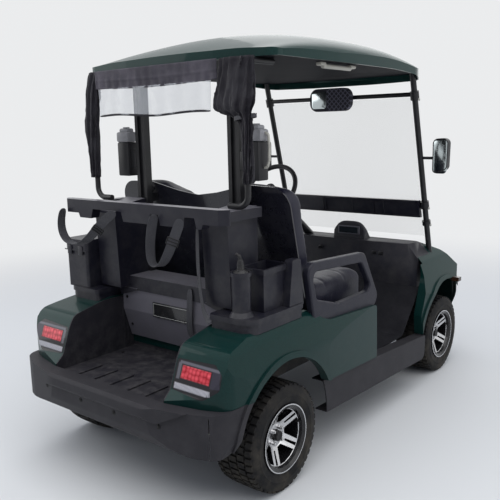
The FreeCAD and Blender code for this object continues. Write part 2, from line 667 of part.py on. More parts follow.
# Slanted panel over the well's front wall, with a bare plate
panel_low = 500
panel = prism(SIDE, [(s.well_back - 0.3, panel_low), (s.well_back - 0.3, 520), (-800, s.deck_low - s.part_gap),
                     (-806, s.deck_low - s.part_gap), (-806, 640), (s.well_back - 20, panel_low)],
              -s.well_half + 5.3, s.well_half - 5.3)
subpart("back_panel", formed("back_slant", panel))
plate = prism(SIDE, [(-806.3, 632), (-806.3, 700), (-812, 700), (-812, 632)], -120, 120)
subpart("blank_plate", formed("plate", plate))


# Black sills between the wheels

SILL = [(-486, 215, 20), (-470, 372, 10), (600, 300, 10), (594, 165, 40)]
sill = prism(SIDE, SILL, sill_inner, s.body_half - s.sill_set)
sill_pocket = prism(SIDE, SILL, sill_inner - 10, s.body_half - s.sill_set - 5, 5)
sill = sill.cut(sill_pocket).cut(wheel_space)
subpart("sills", formed("sill_pair", both(sill)))


# Cabin floor, rising to a toe board

FLOOR = [(15.3, s.floor_top - s.floor_thick), (15.3, s.floor_top), (430, s.floor_top, 60), (639.7, 562), (639.7, 553),
         (436, s.floor_top - s.floor_thick, 60)]
floor = prism(SIDE, FLOOR, -sill_inner + s.part_gap, sill_inner - s.part_gap)
subpart("floor_pan", formed("floor_sheet", floor))


# Front cowl: wings over the front wheels, nose and dash top

COWL_SIDE = [(574, 240, 20), (556, 417, 40), (634, 630, 60), (618, 800, 14), (760, 806, 40), (960, 730, 120),
             (1190, 560, 120), (1266, 420, 60), (1266, 300, 30), (1200, 240, 20)]


def cowl_outlines(half):
    """Front and top outlines of the front cowl for a half width over its wings."""
    front = mirrored([(half - 15, 200), (half - 5, 520, 120), (half - 60, 700, 60), (half - 160, 815, 60),
                      (200, 830)])
    plan = mirrored([(300, 1270, 200), (half - 70, 1200, 120), (half - 2, 1020, 120), (half, 800, 80),
                     (half - 15, 540)])
    return front, plan


cowl_front, cowl_plan = cowl_outlines(s.cowl_half)
cowl_solid = hull(COWL_SIDE, cowl_front, cowl_plan)
cowl_void = hull(COWL_SIDE, cowl_front, cowl_plan, s.body_wall)
cowl_low = box(-s.cowl_half + 30, 560, 200, s.cowl_half - 30, 1240, 260)
front_wheel_space = cylinder(s.front_arch, Vector(-800, front_axle_y, s.tyre_radius + s.arch_rise),
                             Vector(1600, 0, 0))
front_wheel_space = front_wheel_space.cut(box(-225, 500, 0, 225, 1300, 700))
cabin_side = prism(SIDE, [(500, 200), (500, 900), (640, 900), (660, 600), (600, 417), (600, 200)],
                   -s.cowl_half + 60, s.cowl_half - 60)
dash_half = s.cowl_half - 86
dash_zone = box(-dash_half, 640, 560, dash_half, 800, 900)
cowl = cowl_solid.cut(cowl_void).cut(cowl_low).cut(front_wheel_space).cut(cabin_side).cut(dash_zone)
HEADLAMP = [(300, 500, 30), (300, 590, 30), (470, 600, 40), (540, 560, 20), (520, 500, 30)]
light_zone = prism(FRONT, HEADLAMP, 1000, 1300)
light_back = cowl_solid.copy()
light_back.translate(Vector(0, -25, -10))
headlamps = cowl_solid.cut(light_back).common(light_zone)
light_hole = prism(FRONT, HEADLAMP, 1000, 1300, -s.part_gap)
cowl = cowl.cut(light_hole).cut(flipped(light_hole))
cowl_wide = hull(COWL_SIDE, *cowl_outlines(s.cowl_half + s.flare))
cowl_lip = arch_lip(cowl_wide, front_axle_y, s.front_arch, s.cowl_half).cut(cabin_side)
cowl = cowl.fuse(cowl_lip.cut(box(-2000, 0, 0, 2000, 2000, 262)))
subpart("front_cowl", formed("cowl_moulding", cowl))
subpart("headlamps", formed("headlamp_pair", both(headlamps)))

# Black bumper under the nose, carried by the frame's front end
NOSE_SIDE = [(1150, 165, 20), (1150, 234), (1272, 234, 10), (1276, 200, 10), (1240, 160, 20)]
nose = prism(SIDE, NOSE_SIDE, -600, 600).common(prism(UPWARD, cowl_plan, 100, 400))
nose_brackets = [box(x - 20, s.rail_front + s.part_gap, 180, x + 20, 1150, s.rail_low + s.rail_height - 20)
                 for x in (-s.rail_x, s.rail_x)]
nose = nose.cut(front_wheel_space).multiFuse(nose_brackets)
subpart("front_bumper", formed("nose_moulding", nose))
stalk = box(s.cowl_half - 30, 968, 543, s.cowl_half + 32, 1008, 567).cut(cowl_solid).cut(cowl_lip)
subpart("front_indicators", formed("stalk_pair", both(stalk)))


# Dashboard

dash_side = dash_half - s.part_gap
dash_form = cowl_solid.common(box(-dash_side, 640, 560, dash_side, 800 - s.part_gap, 900))
dash_inner = cowl_solid.common(box(-dash_side + 5, 646, 500, dash_side - 5, 794, 900))
dash_inner.translate(Vector(0, 0, -6))
binnacle = prism(SIDE, [(660, 790), (668, 905, 16), (700, 905, 16), (745, 790)], -60, 150)
dash = dash_form.cut(dash_inner).fuse(binnacle).removeSplitter()
subpart("dashboard", formed("dash_moulding", dash))


# Seat cushion and the two seat backs

seat_top = s.seat_low + s.seat_thick
cushion = prism(SIDE, [(s.seat_rear, s.seat_low, 20), (s.seat_rear, seat_top - 16, 50),
                       (s.seat_front, seat_top - 4, 60), (s.seat_front, s.seat_low, 20)],
                -seat_half, seat_half)
cushion_front = mirrored([(seat_half, s.seat_low, 20), (seat_half, seat_top, 60)])
cushion = cushion.common(prism(FRONT, cushion_front, s.seat_rear - 1, s.seat_front + 1))
subpart("seat_cushion", formed("cushion", cushion))
BACK_SIDE = [(-493, 716, 20), (-615.7, 1232, 35), (-520, 1232, 45), (-398, 716, 20)]
back_out = s.body_half - 84
BACK_FRONT = [(8, 700), (8, 1150, 60), (120, 1200, 60), (300, 1240, 80), (back_out, 1235, 90), (back_out, 700)]
back = prism(SIDE, BACK_SIDE, 8, back_out).common(prism(FRONT, BACK_FRONT, -900, 0))
back = back.cut(rear_solid)
subpart("seat_backs", formed("back_pair", both(back)))
shell_half = back_out - 8
shell = prism(SIDE, [(-488, 660), (-625, 1236), (-617, 1236), (-480, 660)], -shell_half, shell_half)
shell = shell.common(prism(FRONT, mirrored([(shell_half, 600), (shell_half, 1230, 90), (300, 1236, 60),
                                            (120, 1196, 60), (0, 1180)]), -900, 0))
shell = shell.cut(rear_solid)
subpart("seat_shell", formed("seat_rear_shell", shell))


# Hip restraints: open moulded loops at the seat's ends

LOOP = [(-525, 660), (-580, 915, 50), (-90, 888, 50), (55, 640, 50), (0, 600), (-330, 600)]
LOOP_HOLE = [(-500, 745, 30), (-535, 870, 30), (-118, 842, 40), (-10, 690, 30), (-318, 690, 40)]
hip_out = hip_in + s.hip_thick
loop = prism(SIDE, LOOP, hip_in, hip_out).cut(prism(SIDE, LOOP_HOLE, hip_in - 30, hip_out + 30))
rounded = [edge for edge in loop.Edges
           if abs(edge.CenterOfMass.x - hip_out) < 0.1 or abs(edge.CenterOfMass.x - hip_in) < 0.1]
loop = loop.makeFillet(9, rounded).cut(rear_solid)
subpart("hip_restraints", formed("loop_pair", both(loop)))


# Caddies over the rear wings: a stepped base and an upright on both sides,
# a sand bottle tube and an open box on the right, a lidded cooler box on the left

caddy_in = 346
caddy_out = s.body_half - 38
CADDY_PLAN = [(caddy_in, -945, 20), (caddy_out, -945, 62), (caddy_out, -585, 20), (caddy_in, -585, 10)]
caddy_low = prism(UPWARD, CADDY_PLAN, 640, s.caddy_floor - 18, 6)
caddy_high = prism(UPWARD, CADDY_PLAN, s.caddy_floor - 22, s.caddy_floor)
caddy_front = prism(SIDE, [(-585, 640), (-585, 700), (-700, 722), (-1000, 600)], 300, 700)
base = caddy_high.fuse(caddy_low).cut(rear_solid)
base = base.cut(box(300, -1000, 600, 700, -500, 690))
upright = prism(SIDE, [(-690, s.caddy_floor - 6), (-664, 943, 12), (-606, 943, 14), (-587, s.caddy_floor - 6)],
                caddy_out - 42, caddy_out - 4)
foot = Vector(s.bottle_x, s.bottle_y, s.caddy_floor - 2)
bottle = cylinder(s.bottle_radius + 4, foot, Vector(0, 0, s.bottle_height + 2))
flare_foot = Part.makeCone(s.bottle_radius + 18, s.bottle_radius + 3, 22, foot)
collar = cylinder(s.bottle_radius + 8, foot + Vector(0, 0, s.bottle_height - 14), Vector(0, 0, 16))
crate = box(410, -812, s.caddy_floor - 2, 526, -645, 918)
crate_rim = box(402, -820, 904, 534, -637, 926)
right_caddy = base.multiFuse([upright, bottle, flare_foot, collar, crate, crate_rim])
right_caddy = right_caddy.cut(cylinder(s.bottle_radius, foot + Vector(0, 0, 10), Vector(0, 0, 400)))
right_caddy = right_caddy.cut(box(414, -808, s.caddy_floor + 8, 522, -649, 1000))
COOLER = [(412, -940, 18), (572, -940, 18), (572, -690, 18), (412, -690, 18)]
cooler = prism(UPWARD, COOLER, s.caddy_floor - 2, 926, 4).fuse(prism(UPWARD, COOLER, 926, 978))
left_caddy = flipped(base.multiFuse([upright, cooler]))
subpart("side_caddies", formed("caddy_pair", Part.makeCompound([right_caddy, left_caddy])))


# Rear roof struts, grooved down their rear faces, and the rack over the bag well

strut_low = "deck_low + deck_beam + part_gap"
strut_high = "roof_low - deck_low - deck_beam - 2 * part_gap"
struts = []
grooves = []
for side in (1, -1):
    struts.append(block("strut_pad", (f"{side} * strut_x - 20", "strut_y", "1140"), ("40", "pad_reach", "40")))
    struts.append(block("strut", (f"{side} * strut_x - strut_width / 2", "strut_y - strut_depth", strut_low),
                        ("strut_width", "strut_depth", strut_high)))
    grooves.append(block("strut_groove", (f"{side} * strut_x - strut_width / 5", "strut_y - strut_depth", strut_low),
                         ("strut_width * 2 / 5", "strut_depth / 3", strut_high)))
subpart("roof_struts", without("struts_grooved", joined("struts", struts), joined("grooves", grooves)))

beam_y = s.strut_y - s.strut_depth
caddies = right_caddy.fuse(flipped(left_caddy))
deck = box(-400, -812, s.deck_low, 400, s.strut_y, s.deck_low + s.deck_beam)
deck = deck.cut(caddies).cut(flipped(caddies)).cut(rear_solid)
gusset = prism(FRONT, [(333, 708), (333, s.deck_low + 8), (215, s.deck_low + 8), (215, s.deck_low)], -818, -811)
column = prism(SIDE, [(-868, 760), (-880, 1110, 20), (-846, 1140, 10), (beam_y - 1, 1160), (beam_y - 1, 760)],
               s.column_in, s.column_out)
deck_foot = prism(SIDE, [(-900, 500), (-640, 500), (-640, 812), (-900, 812)], 240, 420).common(deck)
column = column.cut(deck_foot)
rail_low = s.rack_top - s.rack_height
arm = box(s.column_out - 20, s.rack_y, rail_low, s.column_out + 25, beam_y - 1, s.rack_top - 20)
rail = prism(UPWARD, mirrored([(s.rack_half - 40, s.rack_y - s.rack_depth / 2, 8), (s.rack_half, s.rack_y + 10, 10),
                               (s.rack_half - 30, s.rack_y + s.rack_depth / 2, 8)]),
             rail_low - s.tab_drop, s.rack_top)
# Between its tabs the rail is cut up by slanted notches, where the straps pass
NOTCHES = [(-300, -70, 22), (75, 150, 14), (270, 350, 14)]
for start, end, slant in NOTCHES:
    rail = rail.cut(prism(FRONT, [(start, rail_low - 40), (start + slant, rail_low + 22, 5),
                                  (end - slant, rail_low + 22, 5), (end, rail_low - 40)], -1100, -900))
for end in (-1, 1):
    rail = rail.cut(prism(FRONT, [(end * 520, rail_low - 40), (end * 520, rail_low), (end * 380, rail_low),
                                  (end * 360, rail_low - 40)], -1100, -900))
rack = rail.multiFuse([column, flipped(column), arm, flipped(arm), deck, gusset, flipped(gusset)])
rack = rack.cut(caddies).cut(flipped(caddies))
subpart("bag_rack", formed("rack_moulding", rack.removeSplitter()))


# Roof: a thin domed shell, lofted along the cart, with its liner

ROOF_RIBS = [
    # lip height, crown height and drop of the underside, at even steps along the cart
    (1757, 1784, 0), (1766, 1836, 0), (1770, 1871, 0), (1772, 1891, 0), (1773, 1900, 0), (1772, 1903, 0),
    (1770, 1903, 0), (1766, 1899, 0), (1757, 1887, 3), (1744, 1865, 11), (1728, 1821, 25), (1711, 1734, 39),
]
roof_step = (s.roof_front - s.roof_rear) / (len(ROOF_RIBS) - 1)
ROOF_PLAN = mirrored([(200, s.roof_rear - 4, 300), (s.roof_half - 4, s.roof_rear + 20, 60), (s.roof_half, -300, 300),
                      (s.roof_half - 12, 500, 200), (s.roof_half - 70, 640, 90), (200, s.roof_front, 300)])


def dome(wall, drop):
    """Solid under the roof's crown, thinner by a wall, its underside lowered by a drop."""
    wires = []
    for place_number, (lip, crown, drop_here) in enumerate(ROOF_RIBS):
        y = s.roof_rear + roof_step * place_number
        under = s.roof_low - drop_here
        rise = crown - lip
        half = s.roof_half + 2 - wall
        shares = [(1, 0), (0.985, 0.17), (0.9, 0.45), (0.72, 0.70), (0.45, 0.89), (0.2, 0.98)]
        right = [Vector(half * u, y, lip - wall + rise * v) for u, v in shares]
        left = [Vector(-p.x, p.y, p.z) for p in reversed(right)]
        curve = Part.BSplineCurve()
        curve.interpolate(right + [Vector(0, y, crown - wall)] + left)
        low_right = Vector(half, y, under - drop)
        low_left = Vector(-half, y, under - drop)
        wires.append(Part.Wire([curve.toShape(), Part.LineSegment(left[-1], low_left).toShape(),
                                Part.LineSegment(low_left, low_right).toShape(),
                                Part.LineSegment(low_right, right[0]).toShape()]))
    return Part.makeLoft(wires, True)


roof_solid = dome(0, 0).common(prism(UPWARD, ROOF_PLAN, 1500, 2100))
roof_void = dome(s.roof_wall, 60).common(prism(UPWARD, ROOF_PLAN, 1500, 2100, s.roof_wall))
roof = roof_solid.cut(roof_void)
subpart("roof", formed("roof_shell", roof))
liner = roof_void.common(box(-600, -800, s.roof_low, 600, 800, s.roof_low + 8))
subpart("roof_liner", formed("liner_panel", liner))


# Windscreen: two leaning posts with clamps, a clear pane and a tray between the posts

post_foot = Vector(s.post_x, 847, 700)
post_top = Vector(s.post_x, 556, 1766)
lean = (post_top - post_foot) / (post_top.z - post_foot.z)
post = cylinder(s.post_radius, post_foot, post_top - post_foot)
for clamp_z, clamp_length in ((1606, 44), (1000, 40), (900, 26)):
    clamp_start = post_foot + lean * (clamp_z - post_foot.z)
    post = post.fuse(cylinder(s.clamp_radius, clamp_start, lean * clamp_length))
post = post.cut(cowl_solid).cut(box(-600, 400, s.roof_low - s.part_gap, 600, 700, 2000))
bar_start = Vector(-s.post_x, 594, 1634)
cross_bar = cylinder(s.bar_radius, bar_start, Vector(2 * s.post_x, 0, 0))
subpart("screen_frame", formed("screen_posts", post.multiFuse([flipped(post), cross_bar])))


def along_screen(low, high, x0, x1, thick, ahead=0):
    """Flat piece in the plane of the windscreen, between two heights."""
    y_low = post_foot.y + (low - post_foot.z) * lean.y + ahead
    y_high = post_foot.y + (high - post_foot.z) * lean.y + ahead
    return prism(SIDE, [(y_low, low), (y_high, high), (y_high + thick, high), (y_low + thick, low)], x0, x1)


inner_x = s.post_x - s.clamp_radius - s.part_gap
pane = along_screen(830, 1618, -inner_x, inner_x, 5)
tray = along_screen(945, 1045, -inner_x, inner_x, 30, -30 - s.part_gap)
for x0, x1 in ((-inner_x + 8, -172), (-164, 164), (172, inner_x - 8)):
    tray = tray.cut(along_screen(953, 1039, x0, x1, 8, -34))
subpart("windscreen", formed("pane", pane))
subpart("screen_tray", formed("tray", tray))


# Mirrors: one on each post and a wide one on the bar under the roof

MIRROR = [(566, 1200, 20), (566, 1395, 30), (654, 1400, 30), (650, 1230, 30)]
mirror = prism(FRONT, MIRROR, 668, 704)
mirror = mirror.cut(prism(FRONT, MIRROR, 660, 671, 5))
mirror = mirror.fuse(cylinder(8, Vector(490, 686, 1290), Vector(90, 0, 0)))
mirror = mirror.cut(cylinder(s.post_radius + s.part_gap, post_foot, post_top - post_foot))
subpart("side_mirrors", formed("mirror_pair", both(mirror.Solids[-1])))
WIDE = [(-150, 1560, 50), (-150, 1690, 50), (120, 1690, 50), (120, 1560, 50)]
wide = prism(FRONT, WIDE, 540, 576).fuse(box(-40, 560, 1618, 10, 600, 1650))
wide = wide.cut(cylinder(s.bar_radius + s.part_gap, bar_start, Vector(2 * s.post_x, 0, 0)))
wide = max(wide.Solids, key=lambda solid: solid.Volume)
subpart("centre_mirror", formed("mirror_wide", wide))


# Pedals on the toe board

pedal_set = []
for x in (-330, -190):
    pedal = prism(SIDE, [(448, 398), (518, 473), (512, 479), (442, 404)], x - 35, x + 35)
    pedal = pedal.fuse(prism(SIDE, [(475, 427), (488, 441), (520, 432), (505, 405)], x - 8, x + 8))
    pedal_set.append(pedal.cut(floor).cut(box(-600, 500, 300, 600, 640, 425)).Solids[0])
subpart("pedals", formed("pedal_pair", Part.makeCompound(pedal_set)))


# Rear rain cover: bent tubes, gathered curtains at the corners, and a panel between them

hoop_y = -812
hoop_z = s.rack_top - 20 + s.hoop_radius + s.part_gap
HOOP = [(s.column_out - 45, hoop_y, hoop_z), (s.hoop_x, hoop_y, hoop_z), (s.hoop_x, hoop_y, 1730.2),
        (s.hoop_x, -640, 1730.2)]
subpart("cover_tubes", formed("cover_hoops", both(tube(HOOP, s.hoop_radius, 45))))
hoop_hole = tube(HOOP, s.hoop_radius + s.part_gap, 45)
ROLL_RIGHT = [(330, 1742), (318, 1640, 40), (292, 1572, 20), (300, 1530, 12), (392, 1524, 20), (424, 1258, 16),
              (504, 1258, 16), (520, 1545, 60), (510, 1742)]
ROLL_LEFT = [(404, 1742), (408, 1560, 60), (434, 1258, 16), (496, 1258, 16), (518, 1560, 50), (500, 1742)]
rolls = []
for outline in (ROLL_RIGHT, ROLL_LEFT):
    roll = prism(FRONT, outline, -846, -782).cut(hoop_hole).cut(roof_solid)
    rolls.append(max(roll.Solids, key=lambda solid: solid.Volume))
subpart("cover_rolls", formed("roll_pair", Part.makeCompound([rolls[0], flipped(rolls[1])])))
cover = box(-420, -829, 1538, 420, -823, 1740).cut(rolls[0]).cut(flipped(rolls[1])).cut(roof_solid)
cover = max(cover.Solids, key=lambda solid: solid.Volume)
subpart("rear_cover", formed("cover_panel", cover))


# Webbing straps that hold the bags, hung from the rack rail

def strap(points):
    strap_y = s.rack_y - s.rack_depth / 2 - 18 - s.part_gap
    spine = path([(Vector(x, strap_y, z), 25) for x, z in points], False)
    start = Vector(points[0][0], strap_y, points[0][1])
    ahead = (Vector(points[1][0], strap_y, points[1][1]) - start).normalize()
    broad = Vector(0, 18, 0)
    thick = ahead.cross(Vector(0, 1, 0)) * 1.5
    ring = Part.makePolygon([start + broad + thick, start - broad + thick, start - broad - thick,
                             start + broad - thick, start + broad + thick])
    return spine.makePipeShell([ring], True, False)


straps = [strap([(-480, 1160), (-500, 1060), (-440, 975), (-300, 975), (-90, 1165)]),
          strap([(130, 1165), (100, 1040), (104, 930), (190, 930), (300, 1165)])]
subpart("bag_straps", formed("strap_pair", Part.makeCompound(straps)))


# Ball washers on the struts: a black case with a shouldered jug on top

JUG = [(-364, 1418), (-364, 1470, 14), (-385, 1490, 14), (-450, 1490, 20), (-472, 1450, 14), (-472, 1418)]
washer = prism(FRONT, [(-354, 1262, 8), (-354, 1420, 8), (-480, 1420, 8), (-480, 1262, 8)], -720, -630)
washer = washer.fuse(prism(FRONT, JUG, -712, -638))
washer = washer.fuse(box(-360, -690, 1300, -s.strut_x - s.strut_width / 2 - s.part_gap, -660, 1380))
subpart("ball_washer", formed("washer_pair", both(washer.removeSplitter())))


# Steering wheel on its column

hub = Vector(s.steer_x, s.steer_y, s.steer_z)
to_driver = Rotation(Vector(1, 0, 0), s.steer_tilt)
steering = joined("steering", [
    doc.addObject("Part::Torus", "grip"),
    rod("hub", UPWARD, ("0", "0", "-20"), "38", "34"),
] + [place(block(f"spoke_{i}", ("0", "0", "0"), ("steer_radius", "24", "8")), ("0", "0", "0"),
           Rotation(Vector(0, 0, 1), angle)) for i, angle in enumerate((-12, 168, 258))])
grip = doc.getObject("grip")
bind(grip, "Radius1", "steer_radius")
bind(grip, "Radius2", "steer_grip")
place(steering, ("steer_x", "steer_y", "steer_z"), to_driver)
subpart("steering_wheel", steering)
column_axis = to_driver.multVec(Vector(0, 0, -1))
column_bar = cylinder(24, hub + column_axis * 20.3, column_axis * 600)
column_bar = column_bar.cut(dash).cut(cowl_solid.cut(cowl_void))
column_bar = max(column_bar.Solids, key=lambda solid: solid.CenterOfMass.z)
subpart("steering_column", formed("column", column_bar))


# Finish: check every object, then write each piece

doc.recompute()
for thing in doc.Objects:
    bad = [word for word in thing.State if word in ("Invalid", "Error")]
    if bad:
        raise RuntimeError(f"{thing.Name}: {bad}")
os.makedirs("parts", exist_ok=True)
for node, thing in parts.items():
    if thing.Shape.isNull() or not thing.Shape.isValid():
        raise RuntimeError(f"{node}: its shape is null or not valid")
    thing.Shape.exportStep(f"parts/{node}.step")
    bounds = thing.Shape.BoundBox
    print(f"{node:18s} {len(thing.Shape.Solids)} solids {thing.Shape.Volume / 1e6:8.3f} l"
          f"  x {bounds.XMin:.0f} {bounds.XMax:.0f}  y {bounds.YMin:.0f} {bounds.YMax:.0f}"
          f"  z {bounds.ZMin:.0f} {bounds.ZMax:.0f}")
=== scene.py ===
import math

import bpy
from mathutils import Matrix, Vector, noise
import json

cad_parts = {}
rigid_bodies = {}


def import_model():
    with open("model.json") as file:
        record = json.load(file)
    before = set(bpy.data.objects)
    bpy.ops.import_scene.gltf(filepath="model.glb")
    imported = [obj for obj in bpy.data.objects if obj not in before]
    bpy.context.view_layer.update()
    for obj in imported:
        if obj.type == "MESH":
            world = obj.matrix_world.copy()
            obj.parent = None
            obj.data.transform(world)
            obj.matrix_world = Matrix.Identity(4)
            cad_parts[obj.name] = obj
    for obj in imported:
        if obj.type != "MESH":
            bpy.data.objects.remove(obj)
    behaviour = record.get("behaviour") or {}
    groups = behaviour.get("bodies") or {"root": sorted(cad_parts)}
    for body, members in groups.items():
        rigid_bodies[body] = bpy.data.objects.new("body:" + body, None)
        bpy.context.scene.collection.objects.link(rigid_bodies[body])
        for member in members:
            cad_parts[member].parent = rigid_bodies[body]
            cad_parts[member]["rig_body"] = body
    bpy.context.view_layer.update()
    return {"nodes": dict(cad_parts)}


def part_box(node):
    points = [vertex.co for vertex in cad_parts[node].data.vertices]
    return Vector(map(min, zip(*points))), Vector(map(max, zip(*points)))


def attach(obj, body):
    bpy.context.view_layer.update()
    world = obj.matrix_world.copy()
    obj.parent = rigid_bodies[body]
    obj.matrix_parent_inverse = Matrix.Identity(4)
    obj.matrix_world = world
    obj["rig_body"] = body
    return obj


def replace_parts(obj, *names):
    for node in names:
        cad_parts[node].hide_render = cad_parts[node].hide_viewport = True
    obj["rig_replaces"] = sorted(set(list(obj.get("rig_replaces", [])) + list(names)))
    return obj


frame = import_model()
bpy.ops.object.select_all(action="DESELECT")
nodes = frame["nodes"]


# Camera, lamps and floor
# The camera stands behind the cart on its right side. A pale floor fades into the pale backdrop, one large
# soft lamp hangs overhead, like an overcast sky, and weaker ones stand round the cart.

CAMERA_AT = (2.078, -2.810, 1.472)
CAMERA_HEADING = 38.98
CAMERA_TILT = 90 - 10.41
CAMERA_ROLL = -1.287
bpy.context.scene.view_settings.view_transform = "Standard"
camera = bpy.data.objects.new("camera", bpy.data.cameras.new("camera"))
bpy.context.scene.collection.objects.link(camera)
camera.data.lens = 47.57
camera.data.sensor_width = 36.0
turned = Matrix.Rotation(math.radians(CAMERA_HEADING), 4, "Z")
turned = turned @ Matrix.Rotation(math.radians(CAMERA_TILT), 4, "X")
turned = turned @ Matrix.Rotation(math.radians(CAMERA_ROLL), 4, "Z")
camera.matrix_world = Matrix.Translation(CAMERA_AT) @ turned
bpy.context.scene.camera = camera


def soft_lamp(name, place, target, wide, power):
    lamp = bpy.data.objects.new(name, bpy.data.lights.new(name, "AREA"))
    lamp.data.shape = "DISK"
    lamp.data.size = wide
    lamp.data.energy = power
    lamp.location = place
    lamp.rotation_euler = (Vector(target) - Vector(place)).to_track_quat("-Z", "Y").to_euler()
    bpy.context.scene.collection.objects.link(lamp)


soft_lamp("lamp_overhead", (0.8, -1.2, 5.2), (0, 0, 0.5), 8.0, 300)
soft_lamp("lamp_right", (4.8, 0.6, 2.6), (0, 0, 0.8), 4.0, 45)
soft_lamp("lamp_left", (-4.4, -2.8, 2.8), (0, 0, 0.8), 4.0, 55)
soft_lamp("lamp_front", (-1.5, 5.4, 3.2), (0, 0, 0.8), 6.0, 60)

BACKDROP = (0.83, 0.84, 0.85, 1)


def node(material, kind, values=None, **options):
    """Adds a shader node with its options, and gives each input a value or the socket that feeds it."""
    added = material.node_tree.nodes.new("ShaderNode" + kind)
    for key, value in options.items():
        setattr(added, key, value)
    for key, value in (values or {}).items():
        if isinstance(value, bpy.types.NodeSocket):
            material.node_tree.links.new(value, added.inputs[key])
        else:
            added.inputs[key].default_value = value
    return added


def maths(material, how, first, second=0.5):
    return node(material, "Math", {0: first, 1: second}, operation=how).outputs[0]


air = bpy.data.worlds.new("studio_air")
bpy.context.scene.world = air
air.use_nodes = True
ambient = air.node_tree.nodes["Background"]
ambient.inputs["Color"].default_value = (0.76, 0.83, 1.0, 1)
ambient.inputs["Strength"].default_value = 0.38
backdrop = node(air, "Background", {"Color": BACKDROP, "Strength": 1.0})
rays = node(air, "LightPath").outputs
looked_at = maths(air, "MAXIMUM", rays["Is Camera Ray"], rays["Is Transmission Ray"])
looked_at = maths(air, "MAXIMUM", looked_at, rays["Is Glossy Ray"])
air_mix = node(air, "MixShader", {0: looked_at, 1: ambient.outputs[0], 2: backdrop.outputs[0]})
air.node_tree.links.new(air_mix.outputs[0], air.node_tree.nodes["World Output"].inputs["Surface"])


def finish(name, colour, rough, values=None):
    """New material with one main shader, whose constant values sit on its own sockets."""
    material = bpy.data.materials.new(name)
    material.use_nodes = True
    shader = material.node_tree.nodes["Principled BSDF"]
    shader.inputs["Base Color"].default_value = (*colour, 1)
    shader.inputs["Roughness"].default_value = rough
    shader.inputs["Specular IOR Level"].default_value = 0.22
    for key, value in (values or {}).items():
        shader.inputs[key].default_value = value
    return material


def place_of(material, kind="Object"):
    """Place, or facing, in the object's own space."""
    return node(material, "TexCoord").outputs[kind]


def graded(material, value, low, high, first=0.0, last=1.0, **options):
    """Brings a value from one range into another, and holds it at the ends."""
    return node(material, "MapRange", {"Value": value, "From Min": low, "From Max": high,
                                       "To Min": first, "To Max": last}, **options).outputs[0]


bpy.ops.mesh.primitive_plane_add(size=120, location=(0, 0, 0))
studio_floor = bpy.context.object
studio_floor.name = "studio_floor"
pale_floor = finish("pale_floor", (0.72, 0.73, 0.73), 0.95, {"Specular IOR Level": 0.1})
matt = pale_floor.node_tree.nodes["Principled BSDF"]
glow = node(pale_floor, "Emission", {"Color": BACKDROP, "Strength": 1.0})
far_off = node(pale_floor, "VectorMath", {0: place_of(pale_floor)}, operation="LENGTH").outputs["Value"]
fade = graded(pale_floor, far_off, 2.2, 6.0, interpolation_type="SMOOTHSTEP")
floor_mix = node(pale_floor, "MixShader", {0: fade, 1: matt.outputs[0], 2: glow.outputs[0]})
floor_end = pale_floor.node_tree.nodes["Material Output"].inputs["Surface"]
pale_floor.node_tree.links.new(floor_mix.outputs[0], floor_end)
studio_floor.data.materials.append(pale_floor)
studio_floor.select_set(False)


# Ladder frame, axles and springs
# Welded box-section steel painted black, with cast axle housings, leaf springs and zinc-plated fasteners.
# Road dust lies on all of it.


def feed(material, sockets):
    """Wires sockets to the inputs of the main shader."""
    shader = material.node_tree.nodes["Principled BSDF"]
    for key, socket in sockets.items():
        material.node_tree.links.new(socket, shader.inputs[key])


def pattern(material, kind, values, mapping=None, **options):
    """Texture in the object's own space, which may be scaled or turned."""
    place = place_of(material)
    if mapping:
        place = node(material, "Mapping", {"Vector": place, **mapping}).outputs[0]
    return node(material, kind, {"Vector": place, **values}, **options).outputs


def grained(material, scale, depth, kind="TexNoise", stretch=None):
    """Fine grain in the surface, from a pattern in the object's own space."""
    mapping = {"Scale": stretch} if stretch else None
    height = pattern(material, kind, {"Scale": scale}, mapping)[0]
    bump = node(material, "Bump", {"Height": height, "Strength": depth, "Distance": 0.001})
    feed(material, {"Normal": bump.outputs[0]})
    return bump


def axes(material, vector):
    return node(material, "SeparateXYZ", {0: vector}).outputs


def blended(material, share, below, above):
    """Lays one colour over another by a share. Each colour is three values or a socket."""
    below, above = ((*colour, 1) if isinstance(colour, tuple) else colour for colour in (below, above))
    mix = node(material, "Mix", {"Factor": share, "A": below, "B": above}, data_type="RGBA")
    return mix.outputs["Result"]


def dusty(material, dust, amount, low=0.1, high=1.0, scale=6.0, rough=None):
    """Dust and small colour changes: patches of another colour, thicker towards the ground."""
    plain = material.node_tree.nodes["Principled BSDF"].inputs
    colour = tuple(plain["Base Color"].default_value)[:3]
    patches = pattern(material, "TexNoise", {"Scale": scale, "Detail": 6.0, "Roughness": 0.65})[0]
    height = graded(material, axes(material, place_of(material))["Z"], low, high, 1.0, 0.25)
    share = maths(material, "MULTIPLY", height, graded(material, patches, 0.42, 0.72, 0.0, amount))
    mixed = blended(material, share, colour, dust)
    feed(material, {"Base Color": mixed})
    if rough is not None:
        dulled = graded(material, share, 0.0, 1.0, plain["Roughness"].default_value, rough)
        feed(material, {"Roughness": dulled})
    return mixed


def dress(material, *names):
    """Gives CAD nodes a material."""
    for name in names:
        if not nodes[name].material_slots:
            nodes[name].data.materials.append(material)
        for place in nodes[name].material_slots:
            place.material = material


